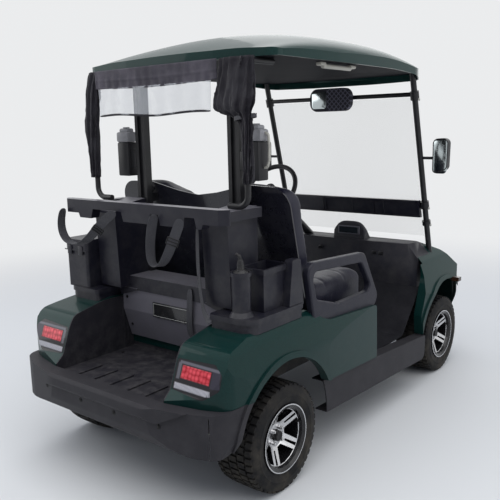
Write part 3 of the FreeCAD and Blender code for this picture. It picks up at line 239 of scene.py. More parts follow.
ROAD_DUST = (0.16, 0.13, 0.095)
frame_paint = finish("frame_paint", (0.014, 0.014, 0.015), 0.45)
grained(frame_paint, 260, 0.35)
dusty(frame_paint, ROAD_DUST, 0.55, 0.1, 0.6, 9)
cast_iron = finish("cast_iron", (0.035, 0.034, 0.033), 0.6, {"Metallic": 0.3})
grained(cast_iron, 420, 0.8)
dusty(cast_iron, (0.10, 0.055, 0.03), 0.6, 0.1, 0.5, 16)
zinc = finish("zinc_plate", (0.42, 0.42, 0.40), 0.38, {"Metallic": 0.95})
grained(zinc, 300, 0.2)
dusty(zinc, (0.12, 0.09, 0.06), 0.5, 0.1, 0.6, 24)
leaf_steel = finish("leaf_steel", (0.022, 0.021, 0.020), 0.55, {"Metallic": 0.4})
grained(leaf_steel, 1.0, 0.9, "TexWave", (0.0, 0.0, 70.0))
dusty(leaf_steel, (0.12, 0.06, 0.03), 0.6, 0.1, 0.5, 18)
dress(frame_paint, "chassis_frame")
dress(cast_iron, "rear_axle", "drive_motor", "front_axle", "knuckle_right", "knuckle_left")
dress(zinc, "tie_rod", "seat_hinges")
dress(leaf_steel, "rear_springs", "front_springs")
battery_case = finish("battery_case", (0.02, 0.02, 0.022), 0.5)
grained(battery_case, 500, 0.5)
dusty(battery_case, ROAD_DUST, 0.3)
dress(battery_case, "battery_pack")


# U-bolts that clamp each leaf spring to its axle
# Two bent zinc-plated rods over the axle tube, with a clamp plate and four nuts under the leaves.


def edit_all():
    bpy.ops.object.mode_set(mode="EDIT")
    bpy.ops.mesh.select_all(action="SELECT")


def made(name, material, body="cart", smooth=35):
    """Ends the piece in hand: place into the mesh, shading, material and body."""
    piece = bpy.context.object
    if piece.mode == "EDIT":
        bpy.ops.object.mode_set(mode="OBJECT")
    piece.name = name
    piece.data.name = name
    bpy.ops.object.transform_apply(location=True, rotation=True, scale=True)
    bpy.ops.object.shade_smooth_by_angle(angle=math.radians(smooth))
    piece.data.materials.clear()
    piece.data.materials.append(material)
    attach(piece, body)
    piece.select_set(False)
    return piece


def applied(kind, **settings):
    """Adds a modifier to the piece in hand and applies it."""
    piece = bpy.context.object
    if piece.mode == "EDIT":
        bpy.ops.object.mode_set(mode="OBJECT")
    worked = piece.modifiers.new(kind.lower(), kind)
    for key, value in settings.items():
        setattr(worked, key, value)
    bpy.ops.object.modifier_apply(modifier=worked.name)


def block(low, high):
    """Block between two corners, as the piece in hand."""
    low, high = Vector(low), Vector(high)
    bpy.ops.mesh.primitive_cube_add(size=1, location=(low + high) / 2, scale=high - low)
    bpy.ops.object.transform_apply(location=False, rotation=False, scale=True)
    return bpy.context.object


def slab(low, high, edge=0.003, steps=2):
    """Block between two corners with its edges rounded."""
    rounded = block(low, high)
    applied("BEVEL", width=edge, segments=steps, limit_method="ANGLE")
    return rounded


def dowel(radius, start, end, sides=24, edge=0.0):
    """Round bar between two points, with its rims rounded, as the piece in hand."""
    start, end = Vector(start), Vector(end)
    turn = (end - start).to_track_quat("Z", "Y").to_euler()
    bpy.ops.mesh.primitive_cylinder_add(vertices=sides, radius=radius, depth=(end - start).length,
                                        location=(start + end) / 2, rotation=turn)
    applied("BEVEL", width=edge or radius * 0.18, segments=2, limit_method="ANGLE")
    return bpy.context.object


def joined(pieces):
    """Joins pieces into one mesh, as the piece in hand."""
    bpy.ops.object.select_all(action="DESELECT")
    for piece in pieces:
        piece.select_set(True)
    bpy.context.view_layer.objects.active = pieces[0]
    bpy.ops.object.join()


def assembled(name, pieces, material, body="cart"):
    """Joins pieces and ends the joined one."""
    joined(pieces)
    return made(name, material, body)


AXLE_Y = -0.78
SPRING_X = 0.2
clamps = []
for x in (-SPRING_X, SPRING_X):
    clamps.append(slab((x - 0.034, AXLE_Y - 0.05, 0.150), (x + 0.034, AXLE_Y + 0.05, 0.158)))
    for y in (AXLE_Y - 0.038, AXLE_Y + 0.038):
        for x_rod in (x - 0.027, x + 0.027):
            clamps.append(dowel(0.0045, (x_rod, y, 0.140), (x_rod, y, 0.262), 10))
            clamps.append(dowel(0.0085, (x_rod, y, 0.143), (x_rod, y, 0.150), 6, 0.001))
assembled("spring_clamps", clamps, zinc)


# Tyres
# Radial tyres with an all-terrain tread: rows of blocks round the crown, lugs on the shoulders, and raised
# rings on the side walls. One pitch of the tread is modelled and repeated round the wheel.

AXLE_Z = 0.2285
REAR_HALF_TRACK = 0.505
FRONT_HALF_TRACK = 0.461
FRONT_AXLE_Y = 0.89
WHEELS = (("rear_right", "rear_right_wheel", REAR_HALF_TRACK, AXLE_Y),
          ("rear_left", "rear_left_wheel", -REAR_HALF_TRACK, AXLE_Y),
          ("front_right", "front_right_wheel", FRONT_HALF_TRACK, FRONT_AXLE_Y),
          ("front_left", "front_left_wheel", -FRONT_HALF_TRACK, FRONT_AXLE_Y))
PITCHES = 44
PITCH = 2 * math.pi / PITCHES
BLOCK_SHARE = 0.70
TREAD_DEPTH = 0.0072
# Half of the cross-section: place across the tyre and radius, from the bead to the middle
HALF_TYRE = [
    (0.0860, 0.1415), (0.0925, 0.1430), (0.0960, 0.1500), (0.0985, 0.1580), (0.0988, 0.1600),
    (0.1000, 0.1680), (0.1012, 0.1760), (0.1020, 0.1775), (0.1020, 0.1805), (0.1013, 0.1820),
    (0.1000, 0.1930), (0.0985, 0.2030), (0.0955, 0.2110), (0.0900, 0.2170), (0.0640, 0.2205),
    (0.0575, 0.2208), (0.0250, 0.2212), (0.0185, 0.2213),
]
tyre_profile = [Vector((x, 0, r)) for x, r in HALF_TYRE]
tyre_profile += [Vector((-x, 0, r)) for x, r in reversed(HALF_TYRE)]
bpy.ops.mesh.primitive_plane_add(size=0.02, location=(0, 0, 0))
edit_all()
bpy.ops.mesh.merge(type="CENTER")
bpy.ops.transform.translate(value=tyre_profile[0])
for start, end in zip(tyre_profile, tyre_profile[1:]):
    bpy.ops.mesh.extrude_vertices_move(TRANSFORM_OT_translate={"value": end - start})
bpy.ops.mesh.select_all(action="SELECT")
for share in (BLOCK_SHARE, 1 - BLOCK_SHARE):
    bpy.ops.mesh.spin(steps=1, angle=PITCH * share, center=(0, 0, 0), axis=(1, 0, 0))
tyre = bpy.context.object


def pick(piece, kind, wanted):
    """Selects what a test asks for, in edit mode, by points (VERT), edges (EDGE) or faces (FACE)."""
    bpy.ops.object.mode_set(mode="EDIT")
    bpy.ops.mesh.select_mode(type=kind)
    bpy.ops.mesh.select_all(action="DESELECT")
    bpy.ops.object.mode_set(mode="OBJECT")
    mesh = piece.data
    for element in {"VERT": mesh.vertices, "EDGE": mesh.edges, "FACE": mesh.polygons}[kind]:
        element.select = bool(wanted(element))
    bpy.ops.object.mode_set(mode="EDIT")


# Half widths between which each row of blocks stands, on the longer of the two steps
BLOCK_ROWS = ((0.062, 0.0915), (0.0245, 0.058), (0.0, 0.019))


def carries_block(face):
    first_step = math.atan2(abs(face.center.y), face.center.z) < PITCH * BLOCK_SHARE
    in_row = any(low < abs(face.center.x) < high for low, high in BLOCK_ROWS)
    return first_step and in_row and face.center.xz.length > 0.2165


pick(tyre, "FACE", carries_block)
bpy.ops.mesh.extrude_region_shrink_fatten(TRANSFORM_OT_shrink_fatten={"value": -TREAD_DEPTH})
edit_all()
bpy.ops.mesh.spin(steps=PITCHES - 1, dupli=True, angle=PITCH * (PITCHES - 1),
                  center=(0, 0, 0), axis=(1, 0, 0))
bpy.ops.mesh.select_all(action="SELECT")
bpy.ops.mesh.remove_doubles(threshold=0.0002)
bpy.ops.mesh.normals_make_consistent(inside=False)
# The rows beside the middle one and the shoulders are set round by part of a pitch
ROW_TURNS = ((0.0220, 0.0600, 0.42), (-0.0600, -0.0220, -0.42), (-0.1, -0.0620, -0.2), (0.0620, 0.1, 0.2))
for low, high, share in ROW_TURNS:
    pick(tyre, "VERT", lambda point: low < point.co.x < high and point.co.yz.length > 0.216)
    bpy.ops.transform.rotate(value=share * PITCH, orient_axis="X", center_override=(0, 0, 0))
edit_all()
bpy.ops.transform.translate(value=(REAR_HALF_TRACK, AXLE_Y, AXLE_Z))
tyre_rubber = finish("tyre_rubber", (0.010, 0.010, 0.011), 0.62, {"Specular IOR Level": 0.12})
grained(tyre_rubber, 700, 0.35)
dusty(tyre_rubber, (0.085, 0.075, 0.06), 0.75, 0.0, 0.5, 14, 0.85)
made("tyre_with_tread_rear_right", tyre_rubber, "rear_right_wheel", 28)
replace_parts(tyre, "tyre_rear_right")


def copied(source):
    """Free copy of a piece with its own mesh, left in edit mode with all of it selected."""
    bpy.ops.object.select_all(action="DESELECT")
    source.hide_viewport = False
    source.select_set(True)
    bpy.context.view_layer.objects.active = source
    bpy.ops.object.duplicate()
    copy = bpy.context.object
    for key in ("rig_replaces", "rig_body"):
        if key in copy:
            del copy[key]
    copy.parent = None
    copy.matrix_world = Matrix.Identity(4)
    copy.hide_render = False
    edit_all()
    return copy


def placed_copy(piece, name, body, shift, flip=False):
    """Copy of a finished piece, shifted, and mirrored across the cart if asked."""
    copy = copied(piece)
    if flip:
        bpy.ops.transform.mirror(constraint_axis=(True, False, False), center_override=(0, 0, 0))
        bpy.ops.mesh.flip_normals()
    bpy.ops.transform.translate(value=shift)
    bpy.ops.object.mode_set(mode="OBJECT")
    copy.name = name
    copy.data.name = name
    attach(copy, body)
    copy.select_set(False)
    return copy


for label, body, x, y in WHEELS[1:]:
    other = placed_copy(tyre, "tyre_with_tread_" + label, body, (x - REAR_HALF_TRACK, y - AXLE_Y, 0))
    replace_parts(other, "tyre_" + label)


# Rims
# Cast alloy wheels with five pairs of spokes. The spokes' faces and the outer lip are machined bright and
# lacquered. The gutter between them and all that lies behind is painted black.

WHEELBASE_MIDDLE = (FRONT_AXLE_Y + AXLE_Y) / 2
HALF_WHEELBASE = (FRONT_AXLE_Y - AXLE_Y) / 2


def distance(material, vector, point):
    return node(material, "VectorMath", {0: vector, 1: point}, operation="DISTANCE").outputs["Value"]


rim_alloy = finish("rim_alloy", (0.55, 0.55, 0.56), 0.24, {"Coat Weight": 0.4, "Coat Roughness": 0.12})
rim_at = axes(rim_alloy, place_of(rim_alloy))
rim_facing = axes(rim_alloy, place_of(rim_alloy, "Normal"))
faces_out = graded(rim_alloy, maths(rim_alloy, "ABSOLUTE", rim_facing["X"]), 0.80, 0.86)
outside = graded(rim_alloy, maths(rim_alloy, "ABSOLUTE", rim_at["X"]), 0.470, 0.490)
# The cart is folded at the middle of its wheelbase, so that all hubs lie on one point
rim_fold = maths(rim_alloy, "ABSOLUTE", maths(rim_alloy, "SUBTRACT", rim_at["Y"], WHEELBASE_MIDDLE))
rim_folded = node(rim_alloy, "CombineXYZ", {"Y": rim_fold, "Z": rim_at["Z"]}).outputs[0]
rim_reach = distance(rim_alloy, rim_folded, (0.0, HALF_WHEELBASE, AXLE_Z))
spokes = graded(rim_alloy, rim_reach, 0.1185, 0.1195, 1.0, 0.0)
lip = graded(rim_alloy, rim_reach, 0.1375, 0.1385)
bright = maths(rim_alloy, "MULTIPLY", faces_out, maths(rim_alloy, "MAXIMUM", spokes, lip))
bright = maths(rim_alloy, "MULTIPLY", bright, outside)
rings = pattern(rim_alloy, "TexNoise", {"Scale": 90.0, "Detail": 3.0})[0]
feed(rim_alloy, {"Base Color": blended(rim_alloy, bright, (0.010, 0.010, 0.011), (0.60, 0.60, 0.61)),
                 "Metallic": graded(rim_alloy, bright, 0.0, 1.0, 0.1, 0.95),
                 "Roughness": graded(rim_alloy, rings, 0.3, 0.7, 0.18, 0.36)})
dress(rim_alloy, *["rim_" + label for label, *_ in WHEELS])


# Wheel nuts, centre caps and valves
# Chromed cone nuts on the stud circle, a black cap pressed into the hub, and a rubber valve in the rim.

HUB_X = 0.549
STUD_CIRCLE = 0.036
nut_chrome = finish("nut_chrome", (0.60, 0.60, 0.61), 0.16, {"Metallic": 1.0})
grained(nut_chrome, 200, 0.1)
nuts = []
for turn in range(4):
    angle = math.radians(45 + 90 * turn)
    spot = Vector((0, math.cos(angle), math.sin(angle))) * STUD_CIRCLE + Vector((HUB_X, AXLE_Y, AXLE_Z))
    nuts.append(dowel(0.0095, spot + Vector((-0.001, 0, 0)), spot + Vector((0.013, 0, 0)), 6, 0.0015))
    nuts.append(dowel(0.0065, spot, spot + Vector((0.019, 0, 0)), 16, 0.003))
nut_set = assembled("wheel_nuts_rear_right", nuts, nut_chrome, "rear_right_wheel")
cap_black = finish("cap_black", (0.012, 0.012, 0.013), 0.28)
grained(cap_black, 350, 0.15)
bpy.ops.mesh.primitive_cylinder_add(vertices=40, radius=0.022, depth=0.016, rotation=(0, math.pi / 2, 0),
                                    location=(HUB_X + 0.013, AXLE_Y, AXLE_Z))
applied("BEVEL", width=0.004, segments=3, limit_method="ANGLE")
bpy.ops.object.transform_apply(location=True, rotation=True, scale=True)
pick(bpy.context.object, "FACE", lambda face: face.normal.x > 0.99)
bpy.ops.mesh.inset(thickness=0.004)
bpy.ops.transform.translate(value=(-0.0015, 0, 0))
hub_cap = made("hub_cap_rear_right", cap_black, "rear_right_wheel")
valve_foot = Vector((0.565, AXLE_Y + 0.118, AXLE_Z + 0.03))
dowel(0.0045, valve_foot, valve_foot + Vector((0.030, -0.006, -0.002)), 14, 0.0015)
valve = made("tyre_valve_rear_right", tyre_rubber, "rear_right_wheel")
for label, body, x, y in WHEELS[1:]:
    for piece, name in ((nut_set, "wheel_nuts_"), (hub_cap, "hub_cap_"), (valve, "tyre_valve_")):
        shift = (x - math.copysign(REAR_HALF_TRACK, x), y - AXLE_Y, 0)
        placed_copy(piece, name + label, body, shift, flip=x < 0)


# Rear body, front cowl and roof
# Injection-moulded panels in dark metallic green under clear lacquer, wiped clean but dusty low down.

DARK_GREEN = (0.0016, 0.0135, 0.0115)
body_lacquer = finish("body_lacquer", DARK_GREEN, 0.34,
                      {"Metallic": 0.15, "Specular IOR Level": 0.05, "Coat Weight": 0.42,
                       "Coat Roughness": 0.03, "Coat IOR": 1.36})
flakes = graded(body_lacquer, pattern(body_lacquer, "TexVoronoi", {"Scale": 900.0})["Color"], 0.0, 0.9)
flaked = blended(body_lacquer, flakes, DARK_GREEN, (0.006, 0.034, 0.032))
cloud = pattern(body_lacquer, "TexNoise", {"Scale": 5.0, "Detail": 7.0, "Roughness": 0.7})[0]
low_down = graded(body_lacquer, axes(body_lacquer, place_of(body_lacquer))["Z"], 0.25, 0.62, 1.0, 0.12)
film = maths(body_lacquer, "MULTIPLY", graded(body_lacquer, cloud, 0.45, 0.75, 0.0, 0.10), low_down)
wave = pattern(body_lacquer, "TexNoise", {"Scale": 2.6, "Detail": 1.0})[0]
ripple = node(body_lacquer, "Bump", {"Height": wave, "Strength": 0.05, "Distance": 0.02})
feed(body_lacquer, {"Base Color": blended(body_lacquer, film, flaked, (0.15, 0.135, 0.11)),
                    "Roughness": graded(body_lacquer, film, 0.0, 1.0, 0.34, 0.8),
                    "Normal": ripple.outputs[0]})
dress(body_lacquer, "rear_body", "front_cowl", "roof")


# Tail lamps
# Sealed lamps let into the rear wings: a black bezel, a block of red lamps in the middle, a ribbed clear
# strip under it and a smoked clear end round the corner, all behind one glossy lens.

lamp_lens = finish("lamp_lens", (0.02, 0.02, 0.022), 0.12,
                   {"Coat Weight": 0.5, "Coat Roughness": 0.02, "Coat IOR": 1.36, "Specular IOR Level": 0.12})
lens_at = axes(lamp_lens, place_of(lamp_lens))
lens_side = maths(lamp_lens, "ABSOLUTE", lens_at["X"])


def within(material, value, low, high, soft=0.002):
    """1 where a value lies between two limits, with soft edges."""
    rise = graded(material, value, low - soft, low + soft)
    return maths(material, "MULTIPLY", rise, graded(material, value, high - soft, high + soft, 1.0, 0.0))


def lens_zone(inner, outer, low, high):
    """1 in one rectangle of the lens, given by how far out it lies and how high."""
    return maths(lamp_lens, "MULTIPLY", within(lamp_lens, lens_side, inner, outer),
                 within(lamp_lens, lens_at["Z"], low, high))


red_block = lens_zone(0.376, 0.520, 0.553, 0.598)
clear_strip = lens_zone(0.352, 0.530, 0.513, 0.534)
clear_top = lens_zone(0.360, 0.560, 0.603, 0.613)
smoked_end = lens_zone(0.526, 0.566, 0.545, 0.606)
inner_end = lens_zone(0.354, 0.370, 0.548, 0.606)
cells = pattern(lamp_lens, "TexVoronoi", {"Scale": 55.0, "Randomness": 0.35})["Distance"]
ribs = pattern(lamp_lens, "TexWave", {"Scale": 55.0}, bands_direction="X")[0]
cell_light = graded(lamp_lens, cells, 0.15, 0.75, 1.0, 0.0)
cell_red = blended(lamp_lens, cell_light, (0.30, 0.002, 0.012), (0.88, 0.10, 0.13))
rib_grey = blended(lamp_lens, ribs, (0.10, 0.10, 0.115), (0.62, 0.61, 0.66))
lens_colour = (0.012, 0.011, 0.014)
for share, over in ((smoked_end, (0.030, 0.027, 0.042)), (inner_end, (0.11, 0.107, 0.125)),
                    (clear_top, (0.12, 0.117, 0.14)), (clear_strip, rib_grey), (red_block, cell_red)):
    lens_colour = blended(lamp_lens, share, lens_colour, over)
lens_height = maths(lamp_lens, "ADD", red_block, clear_strip)
lens_bump = node(lamp_lens, "Bump", {"Height": lens_height, "Strength": 0.5, "Distance": 0.004})
feed(lamp_lens, {"Base Color": lens_colour, "Normal": lens_bump.outputs[0]})
dress(lamp_lens, "tail_lamps")


# Headlamps and front indicators
# Two round reflectors with their bulbs behind each fluted clear lens, and dark amber lenses on short stalks.

BOWL_HEIGHT = 0.549
head_lens = finish("head_lens", (0.10, 0.105, 0.11), 0.12, {"Coat Weight": 0.6, "Coat IOR": 1.4})
grained(head_lens, 40, 0.3, "TexWave")
head_at = axes(head_lens, place_of(head_lens))
head_side = maths(head_lens, "ABSOLUTE", head_at["X"])
head_flat = node(head_lens, "CombineXYZ", {"X": head_side, "Z": head_at["Z"]}).outputs[0]
head_colour = (0.085, 0.088, 0.095)
for middle, bowl in ((0.372, 0.036), (0.462, 0.030)):
    away = distance(head_lens, head_flat, (middle, 0.0, BOWL_HEIGHT))
    for near, far, grey in ((0.0, bowl, 0.50), (bowl, bowl + 0.004, 0.03), (0.0, 0.011, 0.85)):
        share = within(head_lens, away, near, far, 0.001)
        head_colour = blended(head_lens, share, head_colour, (grey, grey, grey * 1.03))
feed(head_lens, {"Base Color": head_colour})
dress(head_lens, "headlamps")
amber = finish("indicator_dark", (0.030, 0.012, 0.006), 0.2, {"Coat Weight": 0.5})
grained(amber, 60, 0.4, "TexWave")
dress(amber, "front_indicators")


# Bumpers, sills and bag well
# Thick charcoal moulding with a leather-like grain. It has gone chalky grey where the sun and boots reach it.
# The panel behind the bags is painted pale for the sunlight on it.

bumper_plastic = finish("bumper_plastic", (0.028, 0.027, 0.031), 0.5, {"Specular IOR Level": 0.12})
grained(bumper_plastic, 330, 0.55)
dusty(bumper_plastic, (0.085, 0.082, 0.088), 0.30, 0.1, 0.75, 11, 0.7)
dress(bumper_plastic, "rear_bumper", "sills", "front_bumper")
well_plastic = finish("well_plastic", (0.022, 0.021, 0.026), 0.5, {"Specular IOR Level": 0.15})
grained(well_plastic, 300, 0.7)
dusty(well_plastic, (0.11, 0.105, 0.105), 0.45, 0.42, 0.62, 18, 0.8)
dress(well_plastic, "bag_well")
# The panel behind the bags is coloured far paler than its charcoal plastic: painted sunlight, with dust
# patches.
painted_sunlit_back_plastic = finish("painted_sunlit_back_plastic", (0.125, 0.120, 0.140), 0.42)
grained(painted_sunlit_back_plastic, 420, 0.5)
dusty(painted_sunlit_back_plastic, (0.10, 0.10, 0.10), 0.35, 0.45, 0.8, 14, 0.6)
dress(painted_sunlit_back_plastic, "back_panel")


# Bare plate
# A glossy black plate on the slanted panel behind the bags, with a thin pale line printed round its edge.

PLATE_HALF = 0.116
PLATE_LOW, PLATE_HIGH = 0.6365, 0.6955
LINE_WIDTH = 0.002
LINE_REAR, LINE_FRONT = -0.8126, -0.8116
plate_gloss = finish("plate_gloss", (0.012, 0.012, 0.013), 0.16, {"Coat Weight": 0.5})
grained(plate_gloss, 60, 0.08)
dusty(plate_gloss, (0.08, 0.08, 0.08), 0.25, 0.6, 0.8, 30)
dress(plate_gloss, "blank_plate")
line_pale = finish("plate_line", (0.40, 0.40, 0.38), 0.4)
grained(line_pale, 200, 0.1)
lines = []
for left, right, low, high in ((-PLATE_HALF, PLATE_HALF, PLATE_LOW, PLATE_LOW + LINE_WIDTH),
                               (-PLATE_HALF, PLATE_HALF, PLATE_HIGH - LINE_WIDTH, PLATE_HIGH),
                               (-PLATE_HALF, -PLATE_HALF + LINE_WIDTH, PLATE_LOW, PLATE_HIGH),
                               (PLATE_HALF - LINE_WIDTH, PLATE_HALF, PLATE_LOW, PLATE_HIGH)):
    lines.append(slab((left, LINE_REAR, low), (right, LINE_FRONT, high), 0.0002, 1))
assembled("plate_line", lines, line_pale)


# Bumper bolts
# Four blackened hexagon bolts that fix the bumper to the frame, each in a round rim.


def face_at(name, x, z, start=-2.0):
    """Place on a CAD node's skin and its facing, seen from behind at a width and height."""
    hit = nodes[name].ray_cast(Vector((x, start, z)), Vector((0, 1, 0)))
    return hit[1], hit[2]


bolt_black = finish("bolt_black", (0.018, 0.018, 0.018), 0.4, {"Metallic": 0.6})
grained(bolt_black, 240, 0.2)
bolts = []
for x, z in ((-0.342, 0.388), (-0.100, 0.385), (0.109, 0.385), (0.352, 0.388)):
    spot, _ = face_at("rear_bumper", x, z)
    bpy.ops.mesh.primitive_torus_add(location=spot, rotation=(math.pi / 2, 0, 0), major_radius=0.0085,
                                     minor_radius=0.0018, major_segments=28, minor_segments=8)
    bolts.append(bpy.context.object)
    bolts.append(dowel(0.0055, spot + Vector((0, 0.002, 0)), spot + Vector((0, -0.002, 0)), 6, 0.001))
assembled("bumper_bolts", bolts, bolt_black)


# Screws of the bag well and of its front wall
# Pan-head screws in the corners of the well, and along the slanted panel behind the bags.

screws = []
for x in (-0.29, 0.29):
    for y in (-1.10, -0.86):
        screws.append(dowel(0.008, (x, y, 0.4395), (x, y, 0.4435), 20, 0.0015))
for x in (-0.30, 0.30):
    for z in (0.56, 0.70):
        spot, normal = face_at("back_panel", x, z)
        screws.append(dowel(0.007, spot - normal * 0.002, spot + normal * 0.003, 20, 0.0012))
assembled("well_screws", screws, bolt_black)


# Floor mat and pedals
# A ribbed rubber mat bonded to a moulded floor, and cast pedals with ribbed pads. The pedals' satin black is
# also on the steering column, the windscreen's posts, the roof's struts and the rain cover's tubes.

PAD_SLOPE = math.atan2(75, 70)
PAD_FOOT = (0, 0.4755, 0.4425)
mat_rubber = finish("mat_rubber", (0.013, 0.013, 0.016), 0.7, {"Specular IOR Level": 0.08})
grained(mat_rubber, 36, 0.8, "TexWave", (1.0, 0.0, 0.0))
dusty(mat_rubber, (0.060, 0.058, 0.064), 0.35, 0.2, 0.7, 9, 0.8)
dress(mat_rubber, "floor_pan")
satin_black = finish("satin_black", (0.010, 0.010, 0.012), 0.34, {"Specular IOR Level": 0.3})
grained(satin_black, 520, 0.25)
dusty(satin_black, (0.07, 0.07, 0.07), 0.3, 0.3, 1.8, 15, 0.55)
dress(satin_black, "pedals", "steering_column", "screen_frame", "roof_struts", "cover_tubes")
pads = []
for x in (-0.330, -0.190):
    pads.append(slab((x - 0.034, -0.046, 0.0), (x + 0.034, 0.046, 0.005), 0.002))
    for step in range(5):
        y = -0.036 + step * 0.017
        pads.append(slab((x - 0.028, y, 0.005), (x + 0.028, y + 0.006, 0.008), 0.001, 1))
joined(pads)
edit_all()
bpy.ops.transform.rotate(value=-PAD_SLOPE, orient_axis="X", center_override=(0, 0, 0))
bpy.ops.transform.translate(value=PAD_FOOT)
pedal_rubber = finish("pedal_rubber", (0.016, 0.016, 0.016), 0.75)
grained(pedal_rubber, 500, 0.4)
made("pedal_pads", pedal_rubber)


# Dashboard
# A grained moulding with a rounded hood over the display and its grey bezel, with a row of switches along its
# face and the direction lever on a round plate.

SWITCH_HEIGHT = 0.735
HOOD_MIDDLE, HOOD_HALF, HOOD_FOOT = 0.045, 0.105, 0.800
HOOD_REAR, HOOD_FRONT = 0.655, 0.750
dash_plastic = finish("dash_plastic", (0.014, 0.014, 0.020), 0.45)
grained(dash_plastic, 380, 0.6)
dusty(dash_plastic, (0.09, 0.085, 0.08), 0.35, 0.5, 0.95, 10, 0.65)
bezel_grey = finish("bezel_grey", (0.075, 0.075, 0.090), 0.4)
grained(bezel_grey, 380, 0.3)
slab((-0.030, 0.6592, 0.828), (0.120, 0.668, 0.879), 0.004, 3)
made("dash_bezel", bezel_grey)
display_glass = finish("display_glass", (0.010, 0.014, 0.018), 0.06, {"Coat Weight": 1.0})
grained(display_glass, 30, 0.03)
slab((-0.020, 0.6583, 0.835), (0.110, 0.6640, 0.872), 0.001, 1)
made("dash_display", display_glass)
switches = []
for x in (-0.395, -0.355, 0.230, 0.275):
    spot, _ = face_at("dashboard", x, SWITCH_HEIGHT, 0.4)
    low, high = Vector((-0.014, -0.006, -0.010)), Vector((0.014, 0.004, 0.010))
    switches.append(slab(spot + low, spot + high, 0.003))
spot, _ = face_at("dashboard", -0.140, SWITCH_HEIGHT, 0.4)
switches.append(dowel(0.014, spot + Vector((0, 0.006, 0)), spot + Vector((0, -0.010, 0)), 28))
low, high = Vector((-0.0035, -0.034, -0.009)), Vector((0.0035, -0.008, 0.009))
switches.append(slab(spot + low, spot + high, 0.0015))
assembled("dash_switches", switches, satin_black)
dash = copied(nodes["dashboard"])
bpy.ops.mesh.remove_doubles(threshold=0.0002)
for step in range(-6, 7):
    bpy.ops.mesh.select_all(action="SELECT")
    bpy.ops.mesh.bisect(plane_co=(HOOD_MIDDLE + step * HOOD_HALF / 6.5, 0, 0), plane_no=(1, 0, 0))
bpy.ops.object.mode_set(mode="OBJECT")
for point in dash.data.vertices:
    aside = abs(point.co.x - HOOD_MIDDLE) / HOOD_HALF
    if aside < 1.01 and point.co.z > HOOD_FOOT and HOOD_REAR < point.co.y < HOOD_FRONT:
        point.co.z = HOOD_FOOT + (point.co.z - HOOD_FOOT) * (1 - 0.5 * aside ** 4)
made("dash_moulding", dash_plastic, "cart", 28)
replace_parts(dash, "dashboard")


# Seat cushion and seat backs
# Foam in stitched vinyl covers: a bench cushion with a rolled front edge, and two bucket-shaped backs. Sewn
# channels run across the cushion, and two seams cross each back. The vinyl is dark, and its colour is tinted
# blue as a painted reflection of the sky.

# The vinyl's colour is tinted blue: a painted reflection of the sky.
seat_vinyl = finish("seat_vinyl", (0.010, 0.010, 0.021), 0.33, {"Sheen Tint": (0.35, 0.35, 0.75, 1)})
hide = grained(seat_vinyl, 210, 0.45, "TexVoronoi")
dusty(seat_vinyl, (0.035, 0.035, 0.055), 0.25, 0.6, 1.3, 8, 0.45)


def creased(material, bump, values, mapping, strength, deep):
    """Soft creases under the fine grain of a cover."""
    creases = pattern(material, "TexNoise", {"Detail": 4.0, **values}, mapping)[0]
    under = node(material, "Bump", {"Height": creases, "Strength": strength, "Distance": deep})
    material.node_tree.links.new(under.outputs[0], bump.inputs["Normal"])


creased(seat_vinyl, hide, {"Scale": 9.0, "Distortion": 0.6}, None, 0.35, 0.006)

PAD_GRID = 0.009
PAD_INSET = 0.009


def stuffed(source, pressure, cap, side=0):
    """Padded copy of a CAD solid, or of its half on one side of the cart.

    It is remeshed and blown up by cloth simulation, with the travel of each point capped."""
    pad = copied(source)
    bpy.ops.mesh.remove_doubles(threshold=0.0002)
    if side:
        pick(pad, "VERT", lambda point: point.co.x * side < 0)
        bpy.ops.mesh.delete(type="VERT")
    applied("REMESH", mode="VOXEL", voxel_size=PAD_GRID)
    edit_all()
    bpy.ops.mesh.vertices_smooth(factor=0.5, repeat=4)
    bpy.ops.transform.shrink_fatten(value=-PAD_INSET)
    bpy.ops.object.mode_set(mode="OBJECT")
    start = [point.co.copy() for point in pad.data.vertices]
    cloth = pad.modifiers.new("stuffing", "CLOTH")
    cloth.settings.use_pressure = True
    cloth.settings.uniform_pressure_force = pressure
    cloth.settings.effector_weights.gravity = 0
    cloth.settings.quality = 4
    cloth.settings.tension_stiffness = 12
    cloth.settings.compression_stiffness = 12
    cloth.point_cache.frame_end = 20
    for count in range(1, 21):
        bpy.context.scene.frame_set(count)
    bpy.ops.object.modifier_apply(modifier="stuffing")
    bpy.context.scene.frame_set(1)
    for point, first in zip(pad.data.vertices, start):
        moved = point.co - first
        if moved.length > cap:
            point.co = first + moved.normalized() * cap
    edit_all()
    bpy.ops.mesh.vertices_smooth(factor=0.5, repeat=6)
    bpy.ops.object.mode_set(mode="OBJECT")
    return pad


def valley(distance_off, depth, width):
    """How far a sewn seam draws the cover in, at a distance from its line."""
    return depth * math.exp(-(distance_off / width) ** 2)


cushion = stuffed(nodes["seat_cushion"], 3.0, 0.009)
low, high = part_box("seat_cushion")
for point in cushion.data.vertices:
    # A deep valley parts the two places, and shallow channels run along and across each
    for middle, depth, width in ((0.0, 0.012, 0.016), (-0.25, 0.004, 0.007), (0.25, 0.004, 0.007)):
        if point.co.z > 0.70:
            point.co.z -= valley(point.co.x - middle, depth, width)
    for middle in (-0.27, -0.10):
        if point.co.z > 0.74:
            point.co.z -= valley(point.co.y - middle, 0.004, 0.007)
    point.co.x = max(low.x - 0.004, min(high.x + 0.004, point.co.x))
    point.co.z = max(low.z, point.co.z)
applied("SUBSURF", levels=1, render_levels=1)
made("seat_cushion_cover", seat_vinyl, "seat_lid", 80)
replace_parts(cushion, "seat_cushion")

